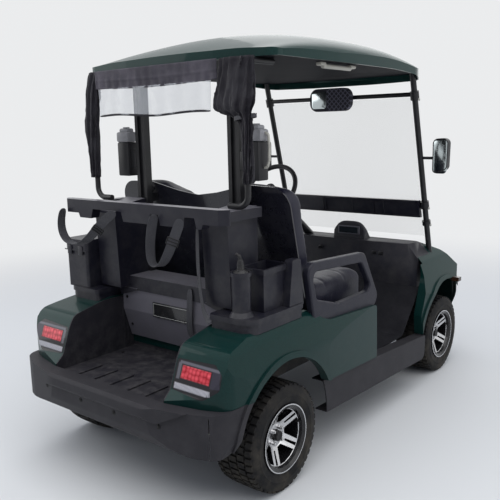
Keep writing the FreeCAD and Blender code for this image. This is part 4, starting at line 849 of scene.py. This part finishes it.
BACK_FOOT, BACK_HEIGHT = 0.716, 0.516
BACK_REAR, BACK_LEAN = -0.493, 0.1227
backs = []
for side, label in ((1, "right"), (-1, "left")):
    back = stuffed(nodes["seat_backs"], 4.0, 0.012, side)
    for point in back.data.vertices:
        along = (point.co.z - BACK_FOOT) / BACK_HEIGHT
        rear = BACK_REAR - BACK_LEAN * along
        if point.co.y > rear + 0.05:
            for seam in (0.90, 1.06):
                point.co.y -= valley(point.co.z - seam, 0.006, 0.008)
            hollow = valley(abs(point.co.x) - 0.262, 0.016, 0.15)
            point.co.y -= hollow * math.sin(math.pi * min(max(along, 0), 1))
        point.co.y = max(point.co.y, rear + 0.0015)
        crown = valley(abs(point.co.x) - 0.29, 0.034, 0.17)
        point.co.z += crown * min(max((point.co.z - 1.08) / 0.15, 0), 1) ** 2
    applied("SUBSURF", levels=1, render_levels=1)
    made("seat_back_" + label, seat_vinyl, "cart", 80)
    backs.append(back)
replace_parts(backs[0], "seat_backs")


# Seat shell, hip restraints, caddies and rack
# Glossy and grained black mouldings screwed to the body: the shell behind the seat, an open loop at each end
# of the seat, the caddies over the rear wings and the rack that the bags lean on, painted paler where it
# faces up for the sunlight on its top.

# The black of the shell, loops, caddies and rack is tinted blue in its colour: a painted reflection of the
# sky.
shell_gloss = finish("shell_gloss", (0.012, 0.012, 0.018), 0.2, {"Coat Weight": 0.5, "Coat Roughness": 0.08})
grained(shell_gloss, 160, 0.1)
dusty(shell_gloss, (0.10, 0.10, 0.10), 0.2, 0.6, 1.3, 18, 0.5)
dress(shell_gloss, "seat_shell")
loop_plastic = finish("loop_plastic", (0.012, 0.012, 0.021), 0.38)
grained(loop_plastic, 420, 0.5)
dusty(loop_plastic, (0.06, 0.06, 0.065), 0.25, 0.6, 1.0, 14, 0.6)
dress(loop_plastic, "hip_restraints")
caddy_plastic = finish("caddy_plastic", (0.011, 0.011, 0.018), 0.32, {"Specular IOR Level": 0.24})
rack_plastic = finish("rack_plastic", (0.011, 0.011, 0.018), 0.30, {"Specular IOR Level": 0.24})
for moulded in (caddy_plastic, rack_plastic):
    grained(moulded, 360, 0.3)
    moulded_colour = dusty(moulded, (0.085, 0.082, 0.08), 0.4, 0.7, 1.2, 12, 0.6)
# Faces turned up are painted paler: painted sunlight on the rack's top.
facing_up = axes(rack_plastic, node(rack_plastic, "NewGeometry").outputs["Normal"])["Z"]
painted_sunlit_top = graded(rack_plastic, facing_up, 0.6, 0.95, 0.0, 0.85)
feed(rack_plastic, {"Base Color": blended(rack_plastic, painted_sunlit_top, moulded_colour, (0.16, 0.155, 0.175))})
dress(caddy_plastic, "side_caddies", "screen_tray")
dress(rack_plastic, "bag_rack")


# Sand bottle in the right caddy
# A blow-moulded bottle that stands in the tube, with a screwed collar and a bent spout for filling divots.

BOTTLE_FOOT = Vector((0.475, -0.890, 0.7615))
bottle_black = finish("bottle_black", (0.018, 0.018, 0.020), 0.3)
grained(bottle_black, 150, 0.2)
dusty(bottle_black, (0.10, 0.09, 0.08), 0.4, 0.7, 1.1, 30)
bpy.ops.mesh.primitive_cylinder_add(vertices=36, radius=0.0315, depth=0.150,
                                    location=BOTTLE_FOOT + Vector((0, 0, 0.075)))
pick(bpy.context.object, "FACE", lambda face: face.normal.z > 0.9)
for inward, rise in ((0.0, 0.012), (0.004, 0.006), (0.010, 0.008), (0.003, 0.0), (0.0, 0.022), (0.002, 0.0),
                     (0.0, 0.006), (0.004, 0.012)):
    if inward:
        bpy.ops.mesh.inset(thickness=inward)
    else:
        bpy.ops.mesh.extrude_region_move()
    bpy.ops.transform.translate(value=(0, 0, rise))
applied("BEVEL", width=0.0015, segments=2, limit_method="ANGLE")
made("sand_bottle", bottle_black)
neck = BOTTLE_FOOT + Vector((0, 0, 0.212))
elbow = neck + Vector((-0.002, -0.004, 0.016))
tubes = [dowel(0.0075, neck, elbow, 18), dowel(0.0065, elbow, neck + Vector((-0.012, -0.012, 0.026)), 18)]
bpy.ops.mesh.primitive_uv_sphere_add(segments=18, ring_count=10, radius=0.0076, location=elbow)
tubes.append(bpy.context.object)
assembled("bottle_spout", tubes, bottle_black)


# Lid of the cooler box
# The left caddy carries a lidded box. A strip runs along the lid's seam at the rear, and two latches hold it.

latches = []
for x in (-0.535, -0.455):
    latches.append(slab((x - 0.016, -0.9445, 0.905), (x + 0.016, -0.9395, 0.948), 0.002))
latches.append(slab((-0.575, -0.9425, 0.9235), (-0.409, -0.9390, 0.9285), 0.001))
assembled("cooler_latches", latches, caddy_plastic)


# Bag straps
# Two loops of grey polyester webbing hang from the rack's rail, each with a ladder buckle. One loose end
# hangs over the panel behind the bags, and one down the back of the right column.

STRAP_WIDTH = 0.040
END_WIDTH = 0.030
STRAP_Y = -1.011
webbing = finish("bag_webbing", (0.050, 0.050, 0.058), 0.6, {"Sheen Weight": 0.1, "Specular IOR Level": 0.2})
grained(webbing, 1.0, 0.9, "TexChecker", (420, 420, 420))
dusty(webbing, (0.11, 0.11, 0.115), 0.5, 0.3, 1.3, 30)


def ribbon(points, width, twists=None, across=(0, 1, 0), thick=0.0016):
    """Strip along points, as the piece in hand, turned about the way it runs by an angle at each.

    Gives its length."""
    points = [Vector(point) for point in points]
    twists = twists or [0.0] * len(points)
    last = len(points) - 1
    bpy.ops.mesh.primitive_grid_add(x_subdivisions=last, y_subdivisions=1, size=2, location=(0, 0, 0))
    strip = bpy.context.object
    for point in strip.data.vertices:
        count = round((point.co.x + 1) / 2 * last)
        ahead = (points[min(count + 1, last)] - points[max(count - 1, 0)]).normalized()
        side = Vector(across)
        side = (side - ahead * side.dot(ahead)).normalized()
        side.rotate(Matrix.Rotation(math.radians(twists[count]), 3, ahead))
        point.co = points[count] + side * point.co.y * width / 2
    applied("SUBSURF", levels=3, render_levels=3)
    area = sum(face.area for face in strip.data.polygons)
    applied("SOLIDIFY", thickness=thick, offset=0.0)
    return area / width


# Width and height of each point of a loop, and the twist there in degrees
LOOPS = {
    "left": ([(-0.466, 1.136), (-0.486, 1.092), (-0.492, 1.050), (-0.480, 1.010), (-0.450, 0.984),
              (-0.405, 0.974), (-0.350, 0.980), (-0.300, 1.002), (-0.235, 1.056), (-0.165, 1.108),
              (-0.105, 1.140)],
             [0, 0, 5, 10, 10, 0, -15, -35, -55, -60, -60]),
    "right": ([(0.136, 1.145), (0.116, 1.095), (0.103, 1.035), (0.099, 0.980), (0.106, 0.942), (0.132, 0.928),
               (0.164, 0.936), (0.196, 0.975), (0.232, 1.040), (0.262, 1.095), (0.282, 1.135)],
              [30, 30, 25, 15, 5, 0, -15, -35, -55, -60, -60]),
}
strap_pieces = []
for label, (route, twists) in LOOPS.items():
    cut_length = ribbon([(x, STRAP_Y, z) for x, z in route], STRAP_WIDTH, twists)
    strap = made("bag_strap_" + label, webbing, "cart", 60)
    strap_pieces.append(strap)
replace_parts(strap_pieces[0], "bag_straps")
# The way across each loose end, and its points from the rack's beam down
ENDS = {
    "panel": ((1, 0.1, 0), [(0.128, -0.818, 0.800), (0.127, -0.823, 0.740), (0.122, -0.822, 0.680),
                            (0.112, -0.815, 0.620), (0.104, -0.800, 0.570)]),
    "column": ((1, -0.4, 0), [(0.262, -0.900, 1.090), (0.264, -0.906, 1.000), (0.262, -0.904, 0.900),
                              (0.268, -0.898, 0.800), (0.285, -0.905, 0.740), (0.325, -0.925, 0.717),
                              (0.362, -0.945, 0.716)]),
}
for label, (across, route) in ENDS.items():
    cut_length = ribbon(route, END_WIDTH, None, across)
    strap = made("strap_end_" + label, webbing, "cart", 60)
buckles = []
for x, z, lean in ((-0.230, 1.052, 0.71), (0.232, 1.040, 1.08)):
    middle = Vector((x, STRAP_Y, z))
    ahead = Vector((math.cos(lean), 0, math.sin(lean)))
    side = Vector((0, 0.023, 0))
    side.rotate(Matrix.Rotation(math.radians(-55), 3, ahead))
    for shift in (-0.014, 0.0, 0.014):
        spot = middle + ahead * shift
        buckles.append(dowel(0.0032, spot - side, spot + side, 10))
    for end in (-1, 1):
        spot = middle + side * end
        buckles.append(dowel(0.0032, spot - ahead * 0.016, spot + ahead * 0.016, 10))
assembled("strap_buckles", buckles, cap_black)


# Roof liner and grab handle
# A black formed sheet with shallow ribs under the roof, and a pale moulded handle screwed to it on the right.

liner_black = finish("liner_black", (0.008, 0.008, 0.011), 0.6, {"Specular IOR Level": 0.02})
grained(liner_black, 11, 0.9, "TexWave", (0.0, 1.0, 0.0))
dusty(liner_black, (0.03, 0.03, 0.035), 0.4, 1.6, 1.8, 7)
dress(liner_black, "roof_liner")
handle_grey = finish("handle_grey", (0.42, 0.41, 0.37), 0.45)
grained(handle_grey, 300, 0.2)
handle = [dowel(0.010, (0.500, -0.340, 1.728), (0.500, -0.110, 1.728), 20),
          slab((0.486, -0.372, 1.728), (0.514, -0.328, 1.7435), 0.005),
          slab((0.486, -0.122, 1.728), (0.514, -0.078, 1.7435), 0.005)]
assembled("grab_handle", handle, handle_grey)


# Gathered curtains of the rain cover
# Black woven cloth gathered round a bent tube at each corner of the roof's rear edge, with deep folds and
# small creases. The right one is fuller, and drawn in at its waist.

cover_cloth = finish("cover_cloth", (0.009, 0.008, 0.012), 0.6,
                     {"Sheen Weight": 0.1, "Sheen Roughness": 0.3, "Specular IOR Level": 0.15})
cloth_weave = grained(cover_cloth, 1.0, 0.35, "TexChecker", (700, 700, 700))
dusty(cover_cloth, (0.075, 0.075, 0.085), 0.5, 1.0, 1.8, 9)
creased(cover_cloth, cloth_weave, {"Scale": 16.0, "Distortion": 1.2}, {"Scale": (1.6, 1.6, 0.45)}, 0.6, 0.012)


def gathered(levels, pleats, depth):
    """Gathered curtain, as the piece in hand: a pleated ring, extruded down from level to level.

    A level is a height, the middle and half width there, and the middle and half depth. Gives the area."""
    z, x_mid, x_half, y_mid, y_half = levels[0]
    bpy.ops.mesh.primitive_circle_add(vertices=pleats * 4, radius=1, location=(0, 0, 0))
    ring = bpy.context.object
    for point in ring.data.vertices:
        fold = 0.5 + 0.5 * math.cos(math.pi * point.index / 2)
        uneven = 0.7 + 0.3 * math.sin(point.index * 1.7)
        point.co = point.co * (1 - depth * fold * uneven)
    bpy.ops.object.mode_set(mode="EDIT")
    bpy.ops.mesh.select_mode(type="VERT")
    bpy.ops.mesh.select_all(action="SELECT")
    bpy.ops.transform.resize(value=(x_half, y_half, 1), center_override=(0, 0, 0))
    bpy.ops.transform.translate(value=(x_mid, y_mid, z))
    for next_level in levels[1:]:
        z2, x2, half2, y2, y_half2 = next_level
        bpy.ops.mesh.extrude_region_move(TRANSFORM_OT_translate={"value": (x2 - x_mid, y2 - y_mid, z2 - z)})
        bpy.ops.transform.resize(value=(half2 / x_half, y_half2 / y_half, 1), center_override=(x2, y2, z2))
        bpy.ops.transform.rotate(value=0.06, orient_axis="Z", center_override=(x2, y2, z2))
        z, x_mid, x_half, y_mid, y_half = next_level
    applied("SUBSURF", levels=2, render_levels=2)
    for point in ring.data.vertices:
        folds = noise.noise(Vector((point.co.x * 34, point.co.y * 34, point.co.z * 9)))
        creases = noise.noise(Vector((point.co.x * 60, point.co.y * 60, point.co.z * 45)))
        point.co += point.normal * (0.007 * folds + 0.003 * creases)
    area = sum(face.area for face in ring.data.polygons)
    applied("SOLIDIFY", thickness=0.0016, offset=-1.0)
    return area


CURTAINS = {
    "right": (13, [(1.741, 0.418, 0.092, -0.814, 0.029), (1.700, 0.414, 0.094, -0.814, 0.031),
                   (1.640, 0.408, 0.108, -0.814, 0.033), (1.600, 0.400, 0.124, -0.816, 0.036),
                   (1.566, 0.396, 0.132, -0.818, 0.037), (1.540, 0.396, 0.124, -0.817, 0.032),
                   (1.522, 0.436, 0.070, -0.814, 0.026), (1.500, 0.454, 0.054, -0.814, 0.027),
                   (1.440, 0.462, 0.050, -0.814, 0.029), (1.360, 0.464, 0.045, -0.814, 0.029),
                   (1.262, 0.464, 0.040, -0.814, 0.028)]),
    "left": (9, [(1.741, -0.442, 0.034, -0.803, 0.020), (1.690, -0.448, 0.044, -0.812, 0.028),
                 (1.600, -0.460, 0.050, -0.814, 0.031), (1.500, -0.470, 0.046, -0.814, 0.031),
                 (1.400, -0.470, 0.040, -0.814, 0.030), (1.320, -0.467, 0.034, -0.814, 0.029),
                 (1.262, -0.465, 0.030, -0.814, 0.028)]),
}
curtains = []
for label, (pleats, levels) in CURTAINS.items():
    area = gathered(levels, pleats, 0.42)
    curtain = made("curtain_" + label, cover_cloth, "cart", 180)
    height = levels[0][0] - levels[-1][0]
    curtains.append(curtain)
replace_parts(curtains[0], "cover_rolls")


# Rear panel of the rain cover
# A pleated valance under the roof's rear edge, its dusty cloth painted paler than the curtains for the
# sunlight on it, and a clear flap with a dark hem sewn under it.

VALANCE_LOW, VALANCE_HIGH = 1.664, 1.742
COVER_Y = -0.829
FLAP_LEFT, FLAP_WIDE = -0.392, 0.690


def laid_sheet(columns, rows, place, thick):
    """Thin sheet, as the piece in hand: a grid whose points are placed by how far across and up they are."""
    bpy.ops.mesh.primitive_grid_add(x_subdivisions=columns, y_subdivisions=rows, size=1, location=(0, 0, 0))
    for point in bpy.context.object.data.vertices:
        point.co = place(point.co.x + 0.5, point.co.y + 0.5)
    edit_all()
    bpy.ops.mesh.normals_make_consistent(inside=False)
    applied("SOLIDIFY", thickness=thick, offset=0.0)


def on_valance(across, up):
    pleat = 0.0016 * math.sin(across * 95) + 0.0022 * noise.noise(Vector((across * 26, up * 2, 0)))
    band = valley(up - 0.45, 0.0022, 0.05) + valley(up, 0.0022, 0.06)
    sag = 0.010 * math.sin(math.pi * across)
    return (-0.412 + across * 0.740, COVER_Y + pleat * (1.0 - 0.7 * up) + 0.003 * (1 - up) - band,
            VALANCE_LOW - sag * (1 - up) + up * (VALANCE_HIGH - VALANCE_LOW))


def on_flap(across, up):
    ripple = 0.004 * math.sin(across * 17 + up * 2) * (1 - up) + 0.002 * math.sin(across * 43)
    low_edge = 1.540 + 0.006 * math.sin(across * 9)
    height = low_edge + up * (VALANCE_LOW - 0.002 - low_edge)
    return FLAP_LEFT + across * FLAP_WIDE, COVER_Y + ripple, height


laid_sheet(150, 16, on_valance, 0.0015)
# The valance is coloured paler than the curtains' cloth: painted sunlight, with pale patches of dust on it.
painted_sunlit_valance_cloth = finish("painted_sunlit_valance_cloth", (0.034, 0.031, 0.042), 0.6,
                       {"Sheen Weight": 0.1, "Specular IOR Level": 0.15})
grained(painted_sunlit_valance_cloth, 1.0, 0.35, "TexChecker", (700, 700, 700))
dusty(painted_sunlit_valance_cloth, (0.17, 0.155, 0.19), 0.9, 1.0, 1.9, 7)
valance = made("cover_valance", painted_sunlit_valance_cloth, "cart", 180)
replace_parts(valance, "rear_cover")
flap_clear = finish("flap_clear", (0.58, 0.60, 0.63), 0.16, {"Alpha": 0.30, "Specular IOR Level": 0.5})
smears = pattern(flap_clear, "TexNoise", {"Scale": 7.0, "Detail": 3.0, "Distortion": 1.5})[0]
smear_bump = node(flap_clear, "Bump", {"Height": smears, "Strength": 0.35, "Distance": 0.008})
feed(flap_clear, {"Roughness": graded(flap_clear, smears, 0.35, 0.7, 0.08, 0.55),
                  "Normal": smear_bump.outputs[0]})
laid_sheet(90, 18, on_flap, 0.0008)
flap = made("clear_flap", flap_clear, "cart", 180)
hem_points = []
for step in range(11):
    ripple = 0.004 * math.sin(step * 1.7) + 0.002 * math.sin(step * 4.3)
    height = 1.541 + 0.006 * math.sin(step * 0.9)
    hem_points.append((FLAP_LEFT + step * FLAP_WIDE / 10, COVER_Y + ripple, height))
ribbon(hem_points, 0.009, None, (0, 0, 1), 0.0030)
hem = made("flap_hem", cover_cloth, "cart", 60)


# Tie of the right curtain
# A band of webbing passed round the gathered curtain at its waist.

TIE_WIDTH = 0.016
TIE_STEPS = 24
tie_points = []
for step in range(TIE_STEPS + 1):
    round_x, round_y = math.cos(math.tau * step / TIE_STEPS), math.sin(math.tau * step / TIE_STEPS)
    tie_points.append((0.455 + 0.050 * round_x, -0.814 + 0.029 * round_y, 1.516 + 0.006 * round_x))
tie_length = ribbon(tie_points, TIE_WIDTH, None, (0, 0, 1), 0.0020)
tie = made("curtain_tie", webbing, "cart", 60)


# Ball washers
# A black moulded case on each strut, with a shouldered jug of dirty pale plastic on top under a screw cap,
# and a pale handle bent down its side.

JUG_FOOT = 1.421
WASHER_BLACK = (0.018, 0.018, 0.020)
washer_plastic = finish("washer_plastic", WASHER_BLACK, 0.4)
grained(washer_plastic, 260, 0.2)
jug_share = within(washer_plastic, axes(washer_plastic, place_of(washer_plastic))["Z"], JUG_FOOT, 1.60, 0.001)
jug_stain = pattern(washer_plastic, "TexNoise", {"Scale": 26.0, "Detail": 5.0})[0]
jug_grey = blended(washer_plastic, jug_stain, (0.34, 0.34, 0.36), (0.17, 0.17, 0.18))
feed(washer_plastic, {"Base Color": blended(washer_plastic, jug_share, WASHER_BLACK, jug_grey)})
dress(washer_plastic, "ball_washer")
# Low and high corner of each block on the right, and the rounding of its edges
WASHER_BLOCKS = (((0.354, -0.706, 1.262), (0.430, -0.640, 1.420), 0.006),
                 ((0.357, -0.704, 1.4205), (0.438, -0.642, 1.470), 0.010),
                 ((0.368, -0.696, 1.466), (0.424, -0.650, 1.486), 0.008),
                 ((0.318, -0.690, 1.300), (0.358, -0.660, 1.380), 0.003))
HANDLE_Y = -0.668
HANDLE_ROUTE = ((0.436, 1.456), (0.452, 1.448), (0.457, 1.400),
                (0.455, 1.340), (0.446, 1.318), (0.430, 1.314))
for label, side in (("right", 1), ("left", -1)):
    blocks = []
    for low, high, edge in WASHER_BLOCKS:
        inner, outer = sorted((side * low[0], side * high[0]))
        blocks.append(slab((inner, low[1], low[2]), (outer, high[1], high[2]), edge))
    blocks.append(dowel(0.016, (side * 0.396, -0.673, 1.484), (side * 0.396, -0.673, 1.492), 28, 0.002))
    washer = assembled("ball_washer_" + label, blocks, washer_plastic)
    bars = []
    for start, end in zip(HANDLE_ROUTE, HANDLE_ROUTE[1:]):
        upper, lower = (side * start[0], HANDLE_Y, start[1]), (side * end[0], HANDLE_Y, end[1])
        bars.append(dowel(0.0058, upper, lower, 14, 0.001))
    assembled("washer_handle_" + label, bars, handle_grey)
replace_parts(washer, "ball_washer")


# Ribs of the tray
# Moulded ribs up the tray's rear face, and a rolled edge along its top.

tray_ribs = []
for x in (-0.185, 0.026, 0.237):
    low, high = (face_at("screen_tray", x, z)[0] for z in (0.955, 1.035))
    tray_ribs.append(dowel(0.0035, low, high, 10))
left_end, right_end = (face_at("screen_tray", x, 1.036)[0] for x in (-0.440, 0.440))
tray_ribs.append(dowel(0.004, left_end, right_end, 12))
assembled("tray_ribs", tray_ribs, caddy_plastic)


# Windscreen
# A bent acrylic pane between two black tubes, full of fine scratches. Zinc-plated screws with their washers
# close the clamps on the tubes.

pane_clear = finish("pane_clear", (0.80, 0.84, 0.84), 0.06, {"Alpha": 0.10, "Specular IOR Level": 0.5})
scratches = pattern(pane_clear, "TexNoise", {"Scale": 60.0, "Detail": 8.0})[0]
feed(pane_clear, {"Roughness": graded(pane_clear, scratches, 0.3, 0.7, 0.03, 0.16)})
dress(pane_clear, "windscreen")
POST_FOOT, POST_HEAD = Vector((0.488, 0.847, 0.700)), Vector((0.488, 0.556, 1.766))
for label, side in (("left", -1), ("right", 1)):
    outward = Vector((side, 0, 0))
    screws = []
    for z in (0.900, 1.000, 1.606):
        spot = POST_FOOT.lerp(POST_HEAD, (z - POST_FOOT.z) / (POST_HEAD.z - POST_FOOT.z))
        spot.x *= side
        screws.append(dowel(0.0065, spot + outward * 0.0225, spot + outward * 0.0275, 6))
        screws.append(dowel(0.0085, spot + outward * 0.0220, spot + outward * 0.0242, 24))
    assembled("clamp_screws_" + label, screws, zinc)


# Mirrors
# Two upright mirrors on the posts and a wide one under the roof: black housings with silvered glass let in.
# The right part of the wide one is wrapped in a cross-hatched cloth.

mirror_black = finish("mirror_black", (0.014, 0.014, 0.016), 0.35)
grained(mirror_black, 300, 0.25)
dusty(mirror_black, (0.08, 0.08, 0.085), 0.4, 1.1, 1.7, 20)
dress(mirror_black, "side_mirrors")
silvered = finish("silvered_glass", (0.48, 0.53, 0.54), 0.14, {"Metallic": 1.0})
grained(silvered, 40, 0.02)


def glass_plate(name, low, high, corner):
    """Flat upright glass with round corners."""
    plate = block(low, high)

    def at_corner(edge):
        first, last = (plate.data.vertices[index].co for index in edge.vertices)
        return abs(first.y - last.y) > 0.0005

    pick(plate, "EDGE", at_corner)
    bpy.ops.mesh.bevel(offset=corner, segments=7, affect="EDGES")
    bpy.ops.mesh.select_mode(type="VERT")
    applied("BEVEL", width=0.0010, segments=2, limit_method="ANGLE")
    made(name, silvered)


for label, inner in (("right", 0.5715), ("left", -0.6485)):
    glass_plate("mirror_glass_" + label, (inner, 0.6685, 1.2065), (inner + 0.077, 0.6712, 1.3935), 0.022)
glass_plate("centre_mirror_glass", (-0.136, 0.5385, 1.576), (-0.038, 0.5412, 1.674), 0.016)
wide_wrap = finish("wide_mirror_wrap", (0.030, 0.030, 0.034), 0.6)
hatching = []
for direction in ("X", "Z"):
    bands = pattern(wide_wrap, "TexWave", {"Scale": 15.0, "Distortion": 1.2, "Detail Scale": 0.6},
                    {"Rotation": (0.0, 0.785, 0.0)}, bands_direction=direction)
    hatching.append(within(wide_wrap, bands["Fac"], 0.86, 2.0, 0.05))
weave = maths(wide_wrap, "MAXIMUM", *hatching)
wrap_bump = node(wide_wrap, "Bump", {"Height": weave, "Strength": 0.8, "Distance": 0.002})
wrapped = within(wide_wrap, axes(wide_wrap, place_of(wide_wrap))["X"], -0.035, 0.2)
wrap_share = maths(wide_wrap, "MULTIPLY", wrapped, weave)
feed(wide_wrap, {"Base Color": blended(wide_wrap, wrap_share, (0.010, 0.010, 0.018), (0.085, 0.085, 0.12)),
                 "Normal": wrap_bump.outputs[0]})
dress(wide_wrap, "centre_mirror")


# Steering wheel
# A thick foamed rim in black, with pale grey spokes and a black cover in the middle.

WHEEL_MIDDLE = (-0.275, 0.299, 1.112)
COVER_RADIUS, RIM_INNER_RADIUS = 0.052, 0.146
WHEEL_BLACK = (0.018, 0.018, 0.020)
wheel_soft = finish("wheel_soft", WHEEL_BLACK, 0.5)
grained(wheel_soft, 500, 0.5)
wheel_reach = distance(wheel_soft, place_of(wheel_soft), WHEEL_MIDDLE)
spoke_share = within(wheel_soft, wheel_reach, COVER_RADIUS, RIM_INNER_RADIUS, 0.0015)
feed(wheel_soft, {"Base Color": blended(wheel_soft, spoke_share, WHEEL_BLACK, (0.30, 0.30, 0.31))})
dress(wheel_soft, "steering_wheel")
